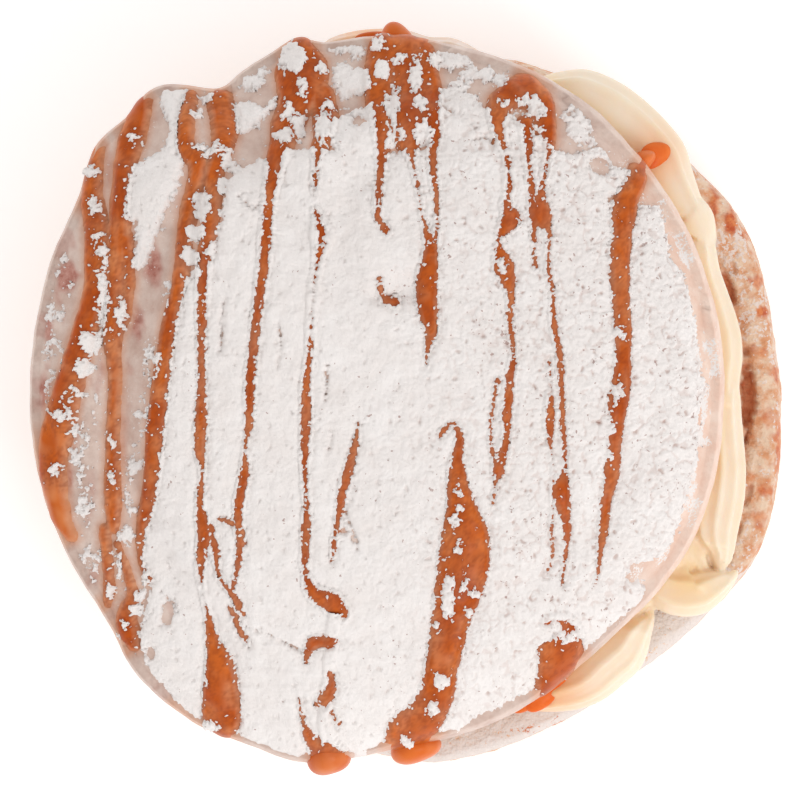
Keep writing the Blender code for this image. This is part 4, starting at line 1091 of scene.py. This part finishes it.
core = custard["core"]
coreAngles = np.arange(core["angles"]) * 360.0 / core["angles"]
liftShare = np.linspace(-1, 1, core["rings"])[:, None]
roundOff = np.sqrt(np.clip(1 - np.abs(liftShare) ** core["roundness"], 0, 1))
reach = swollen(coreAngles, core["radius"], core["swells"])
ridges = core["ridge"] * np.cos(np.radians(coreAngles * core["ridgeCount"])) * roundOff
radii = reach[None, :] - core["edge"] * (1 - roundOff) + ridges
heights = 0.5 * (core["low"] + core["high"]) + 0.5 * (core["high"] - core["low"]) * liftShare
coreBody = closedBody(np.stack([
    custard["centreX"] + radii * np.cos(np.radians(coreAngles)),
    radii * np.sin(np.radians(coreAngles)), heights + 0 * radii], axis=-1))
bed = custard["bed"]
bedAngles = np.arange(*bed["arc"], bed["step"])
bedReach = swollen(bedAngles, bed["radius"], bed["swells"])
bedEdge = [(custard["centreX"] + r * math.cos(math.radians(a)), r * math.sin(math.radians(a)),
            bed["half"]) for a, r in zip(bedAngles, bedReach)]
bodies = [closedBody(pipedShell(edge, ridges))
          for edge, ridges in [(bedEdge, []), *custard["shells"].values()]]


# several closed bodies in one piece
def gathered(bodies):
    offsets = np.cumsum([0] + [len(points) for points, _, _ in bodies[:-1]])
    points = np.concatenate([points for points, _, _ in bodies])
    quads = np.concatenate([quads + shift for (_, quads, _), shift in zip(bodies, offsets)])
    fans = np.concatenate([fans + shift for (_, _, fans), shift in zip(bodies, offsets)])
    return points, quads, fans


# closed bodies melted into one skin of quads: a voxel remesh, then rounds of smoothing
def melted(bodies):
    points, quads, fans = gathered(bodies)
    mesh = bpy.data.meshes.new("melting")
    mesh.from_pydata((points * mm).tolist(), [], quads.tolist() + fans.tolist())
    body = bpy.data.objects.new("melting", mesh)
    bpy.context.scene.collection.objects.link(body)
    remesh = body.modifiers.new("remesh", "REMESH")
    remesh.mode = "VOXEL"
    remesh.voxel_size = custard["voxel"] * mm
    smoothing = body.modifiers.new("smoothing", "SMOOTH")
    smoothing.iterations = custard["smoothing"]
    skin = body.evaluated_get(bpy.context.evaluated_depsgraph_get()).to_mesh()
    melt = np.empty(len(skin.vertices) * 3, np.float32)
    skin.vertices.foreach_get("co", melt)
    corners = np.empty(len(skin.loops), np.int32)
    skin.loops.foreach_get("vertex_index", corners)
    bpy.data.objects.remove(body)
    bpy.data.meshes.remove(mesh)
    return melt.reshape(-1, 3) / mm, corners.reshape(-1, 4)


skin, skinQuads = melted(bodies)
points = np.concatenate([coreBody[0], skin])
pointX, pointY = points[:, 0], points[:, 1]
fromLidX, fromLidY = pointX - lid["centre"][0], pointY - lid["centre"][1]
lidRim = swollen(np.degrees(np.arctan2(fromLidY, fromLidX)), lid["radius"], lid["swells"])
# golden near and under the lid's rim and in the pocket: partly the custard's deeper yellow, partly
# painted shade of the lid
goldenAndShade = 0.75 * softStep(3.5 + lidRim - np.hypot(fromLidX, fromLidY), 0, 4.5)
for spotX, spotY, spread, much in custard["goldenAndShade"]:
    goldenAndShade = np.maximum(goldenAndShade, much * bell(np.hypot(pointX - spotX, pointY - spotY), spread))
# the core, seen only in the gaps, gets the same golden colour and painted shade
goldenAndShade[:len(coreBody[0])] = core["goldenAndShade"]
peach = (arcWindow(np.degrees(np.arctan2(pointY, pointX)), custard["peachArc"], 3)
         * softStep(np.hypot(pointX, pointY), 50, 54))
stained = np.zeros(len(points))
for (dropX, dropY, _), sizes, _, _ in drips["drops"]:
    near = bell(np.hypot(pointX - dropX, pointY - dropY), custard["stainReach"] * sizes[0])
    stained = np.maximum(stained, custard["stainShare"] * near)
cream = buildPiece(
    "custard_shells", points, [coreBody[1], coreBody[2], skinQuads + len(coreBody[0])],
    custardMaterial, {"goldenAndShade": goldenAndShade, "peach": peach, "stained": stained})
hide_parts("custard")


# a drop: a ball stretched to its half sizes, its outline swelled by a cosine of the turn
def dropBody(middle, sizes, towards):
    up = np.linspace(-88, 88, drips["rings"])[:, None]
    turn = np.arange(drips["around"])[None, :] * 360.0 / drips["around"]
    wave = 1 + drips["waveHeight"] * np.cos(np.radians(drips["waves"] * turn + 40))
    flat = np.cos(np.radians(up)) * wave
    along = sizes[0] * flat * np.cos(np.radians(turn))
    across = sizes[1] * flat * np.sin(np.radians(turn))
    east, north = math.cos(math.radians(towards)), math.sin(math.radians(towards))
    return np.stack([middle[0] + along * east - across * north,
                     middle[1] + along * north + across * east,
                     middle[2] + sizes[2] * np.sin(np.radians(up)) + 0 * turn], axis=-1)


for name, drops, slot in (("caramel_drips", drips["drops"], "custard_cream"),
                          ("caramel_beads", drips["beads"], "sugared_dough")):
    dropBodies = [closedBody(dropBody(*drop[:3])) for drop in drops]
    fresh = np.concatenate([np.full(len(body[0]), drop[3])
                            for body, drop in zip(dropBodies, drops)])
    points, quads, fans = gathered(dropBodies)
    dripPiece = buildPiece(name, points, [quads, fans], caramelMaterial, {
        "within": drips["within"] + 0 * fresh, "fresh": fresh, "dust": 0 * fresh,
        "shade": 0 * fresh})
print("custard piped")


# lower half: a barrel side and a cut face, with a profile of (inset, height) cut into rings
# (from, to, how many); pockets are (direction, radius, half length, half width, depth, how
# brown), toasted spots (x, y, half width, half height, how strong)
base = dict(
    radius=61.0, angles=760, grain=0.8, cutDrop=0.15, seamPinch=0.9, seamLean=0.5,
    noise=dict(side=([(9, 0.42), (3.5, 0.24), (1.4, 0.12)], 91),
               ragged=([(1.6, 0.25), (0.8, 0.15)], 96),
               cut=([(2.8, 0.32), (1.2, 0.22), (0.6, 0.12)], 95),
               powder=([(5, 4.5), (1.8, 2.5), (0.7, 1.4)], 94),
               bentX=([(1.8, 0.9), (0.8, 0.5)], 97), bentY=([(1.8, 0.9), (0.8, 0.5)], 98),
               toast=([(3.4, 0.9), (1.5, 0.5)], 99)),
    tones=dict(crust=(7.0, (0.3, 0.7), (200, 136, 82), (226, 174, 122)),
               baked=(4.0, (0.35, 0.65), (178, 108, 58), (204, 140, 88)),
               crumb=(2.4, (0.42, 0.62), (236, 206, 180), (222, 158, 116)),
               toast=(1.6, (0.4, 0.62), (224, 132, 78), (192, 82, 38)),
               spice=(1.2, (0.3, 0.7), (196, 108, 68), (220, 150, 108))),
    dust=(235, 217, 208), powderTone=(232, 219, 212),
    swells=[(28, 14, 2.1), (-3, 10, 0.9), (-23, 12, 2.8), (-54, 12, -1.3), (-88, 12, 2.0),
            (86, 7, -1.7), (180, 50, -1.9)],
    profile=[(60, 0.0), (4.6, 0), (3.3, 0.35), (2.2, 1.1), (1.3, 2.2), (0.7, 3.6), (0.3, 5.4),
             (0.1, 7.4), (0, 9.2), (0, 11), (0.12, 13), (0.35, 15), (0.6, 16.6), (0.9, 18),
             (1.3, 18.9), (1.8, 19.45), (2.5, 19.8), (3.4, 20), (13, 20), (60, 20)],
    rings=[(0, 54, 8), (54, 76, 48), (76, 89, 48), (89, 139, 12)],
    pockets=[(23.2, 57.6, 1.6, 0.9, 0.9, 0.25), (20.4, 55.6, 3.6, 1.1, 1.8, 0.75),
             (8.5, 55.9, 0.9, 0.7, 1, 0.35), (0.7, 55.7, 6.5, 1.5, 2.2, 0.95),
             (-6.8, 55.7, 1.2, 0.45, 1.2, 0.8), (-16.5, 57.8, 2.6, 0.8, 1.0, 0.25),
             (-22.4, 58.2, 1.4, 0.8, 0.9, 0.3)],
    toasted=[(49.8, 33.6, 0.8, 3.2, 0.9), (52.6, 30.6, 0.9, 2.6, 1), (55, 28.8, 1.4, 0.9, 0.8),
             (57.2, 20.4, 1.2, 1, 0.8), (58.2, 15.2, 1, 1.1, 1), (60.5, 4.6, 1, 1.2, 0.8),
             (60.9, -8, 0.8, 4.6, 0.9), (59.4, -3, 1.4, 1.8, 0.5), (57.2, -20.4, 1.4, 1.6, 0.45),
             (58.8, -15.6, 1.4, 1, 0.9), (57.4, -25.6, 1.4, 1.2, 0.3),
             (22.1, -55.6, 2.0, 1.2, 0.9), (17.6, -56.6, 2.6, 0.8, 0.8),
             (37, -47.6, 1.6, 0.9, 0.7), (49.4, -37.6, 1.6, 0.8, 0.6)],
    seamRadius=55.4, seamArc=(-29, 27), seamDepth=0.9, seamWidth=1.2,
    powder=(-118, -33), coilEnd=214)

baseAngles = np.arange(base["angles"]) * 360.0 / base["angles"]
baseReach = swollen(baseAngles, base["radius"], base["swells"])
profile = np.array(base["profile"], float)
steps = np.concatenate([[0], np.cumsum(np.hypot(*np.diff(profile, axis=0).T))])
along = np.concatenate([np.linspace(start, end, count, endpoint=False)
                        for start, end, count in base["rings"]])
inset = np.interp(along, steps, profile[:, 0])[:, None]
height = np.interp(along, steps, profile[:, 1])[:, None]
plan = np.maximum(baseReach[None, :] - inset, 1.0)
direction = np.radians(baseAngles)[None, :]
arcAlong = base["radius"] * direction + 0 * plan
onSide = softStep(height + 0 * plan, 0.3, 2.0) * softStep(9 - inset, 0, 3)
onCut = softStep(height, 19.2, 19.8) * softStep(inset, 1.4, 2.8) + 0 * plan
shoulder = softStep(height, 9.0, 14.5) + 0 * plan


# the sum of the grains that the lower half keeps under this name, at points in mm
def baseNoise(x, y, name):
    return grains(x, y, *base["noise"][name])


# lumps of the side: the mean of one noise run both ways round it
sideLump = 0.5 * (baseNoise(60 + arcAlong, height + 0 * plan, "side")
                  + baseNoise(60 - arcAlong, height + 0 * plan, "side"))
deg = baseAngles[None, :] + 0 * plan
fromSeam = np.radians(wrapped(deg - base["coilEnd"] - base["seamLean"] * height))
coilSeam = bell(base["radius"] * fromSeam, 1.0) * onSide
plan = plan + (sideLump - base["seamPinch"] * coilSeam) * onSide
x, y = plan * np.cos(direction), plan * np.sin(direction)
pocketDepth, pocketBrown = 0 * plan, 0 * plan
ragged = baseNoise(x, y, "ragged")
for towards, away, length, width, depth, brown in base["pockets"]:
    overArc = away * np.radians(wrapped(deg - towards))
    inside = 1.0 + ragged - np.hypot(overArc / length, (plan - away) / width)
    hollow = softStep(inside, 0.0, 0.45)
    pocketDepth = np.maximum(pocketDepth, depth * hollow)
    pocketBrown = np.maximum(pocketBrown, brown * hollow)
seam = (arcWindow(deg, base["seamArc"], 6) * base["seamDepth"]
        * bell(plan - base["seamRadius"], base["seamWidth"]))
crumble = baseNoise(x, y, "cut") * base["grain"] - base["cutDrop"] - pocketDepth - seam
z = height + crumble * onCut
points, quads, fans = closedBody(np.stack([x, y, z], axis=-1))


# a value for each ring and direction, with the two poles added
def withPoles(field):
    field = np.broadcast_to(field, plan.shape)
    return np.concatenate([field.ravel(), [field[0].mean(), field[-1].mean()]])


crumbMaterial, tree, shader = newMaterial("baked dough", {"Specular IOR Level": 0.35})
here = place(tree)
tones = mottledTones(tree, here, base["tones"])
tone = addMix(tree, attribute(tree, "toast"), tones["crumb"], tones["toast"])
side = addMix(tree, attribute(tree, "baked"), tones["crust"], tones["baked"])
tone = addMix(tree, attribute(tree, "cut"), side, tone)
tone = addMix(tree, attribute(tree, "spice"), tone, tones["spice"])
sugarColour = addMix(tree, attribute(tree, "powder"), paint(*base["dust"]),
                     paint(*base["powderTone"]))
dustOver(tree, shader, here, tone, 0.9, sugarColour, 0.6)
roughen(tree, shader, here, 0.9, 0.0004)

spice = np.clip(pocketBrown + 0.25 * softStep(seam, 0.4, 0.9), 0, 1) * onCut
powdered = arcWindow(deg + baseNoise(x, y, "powder"), base["powder"], 9)
bentX = x + baseNoise(x, y, "bentX")
bentY = y + baseNoise(x, y, "bentY")
toast = np.max([spot[4] * softStep(spotField(bentX, bentY, spot), -0.5, 0.5)
                for spot in base["toasted"]], axis=0)
toast = np.maximum(toast, 0.5 * softStep(baseNoise(x, y, "toast"), 0.35, 0.7) * (1 - powdered))
baked = softStep(height, 1.0, 6.0) * (1 - softStep(height, 8.0, 13.0)) + 0.7 * coilSeam
dustHere = shoulder * (1 - spice) * (0.5 - 0.26 * toast + 0.5 * powdered)
lowerHalf = buildPiece("scroll_base", points, [quads, fans], crumbMaterial, {
    "cut": withPoles(shoulder), "spice": withPoles(spice), "dust": withPoles(dustHere),
    "toast": withPoles(toast * (1 - spice)), "baked": withPoles(baked),
    "powder": withPoles(powdered)})
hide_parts("lower_half")
print("lower half made")


# floor, light and a camera that looks straight down
floorMaterial, tree, shader = newMaterial("pale floor", {
    "Roughness": 0.9, "Specular IOR Level": 0.1, "Emission Color": (1, 1, 1, 1),
    "Emission Strength": 0.3})
floorTone = placeGroup(tree, mottle, {"Vector": place(tree), "Size": 60.0, "Low": 0.2, "High": 0.8,
                       "First": (0.96, 0.96, 0.96, 1), "Second": (0.97, 0.97, 0.97, 1)})["Color"]
tree.links.new(floorTone, shader.inputs["Base Color"])
floorSide = 3.0
floorMesh = bpy.data.meshes.new("floor")
floorMesh.from_pydata([(-floorSide, -floorSide, 0), (floorSide, -floorSide, 0),
                       (floorSide, floorSide, 0), (-floorSide, floorSide, 0)], [], [(0, 1, 2, 3)])
floorMesh.materials.append(floorMaterial)
floor = bpy.data.objects.new("floor", floorMesh)
bpy.context.scene.collection.objects.link(floor)

# lamps (position, side, power), all aimed at the origin
studio = dict(ambient=0.82, lamps=dict(key=((0.55, -0.62, 0.85), 0.5, 4.0)))
world = bpy.data.worlds.new("studio")
world.use_nodes = True
world.node_tree.nodes["Background"].inputs["Color"].default_value = (1, 1, 1, 1)
world.node_tree.nodes["Background"].inputs["Strength"].default_value = studio["ambient"]
bpy.context.scene.world = world
for name, (position, size, power) in studio["lamps"].items():
    lamp = bpy.data.lights.new(name, "AREA")
    lamp.size = size
    lamp.energy = power
    lampObject = bpy.data.objects.new(name, lamp)
    lampObject.location = position
    lampObject.rotation_euler = (-Vector(position)).to_track_quat("-Z", "Y").to_euler()
    bpy.context.scene.collection.objects.link(lampObject)

# the camera's lens takes in a square this far across at the level it looks at
view = dict(distance=0.8, level=0.045, across=0.13333, middle=(-0.0043, 0.0), sensor=36.0)
camera = bpy.data.cameras.new("camera")
camera.sensor_width = view["sensor"]
camera.lens = view["sensor"] * view["distance"] / view["across"]
cameraObject = bpy.data.objects.new("camera", camera)
cameraObject.location = (*view["middle"], view["level"] + view["distance"])
bpy.context.scene.collection.objects.link(cameraObject)
bpy.context.scene.camera = cameraObject
bpy.context.scene.view_settings.view_transform = "Standard"
print("floor, light and camera set")
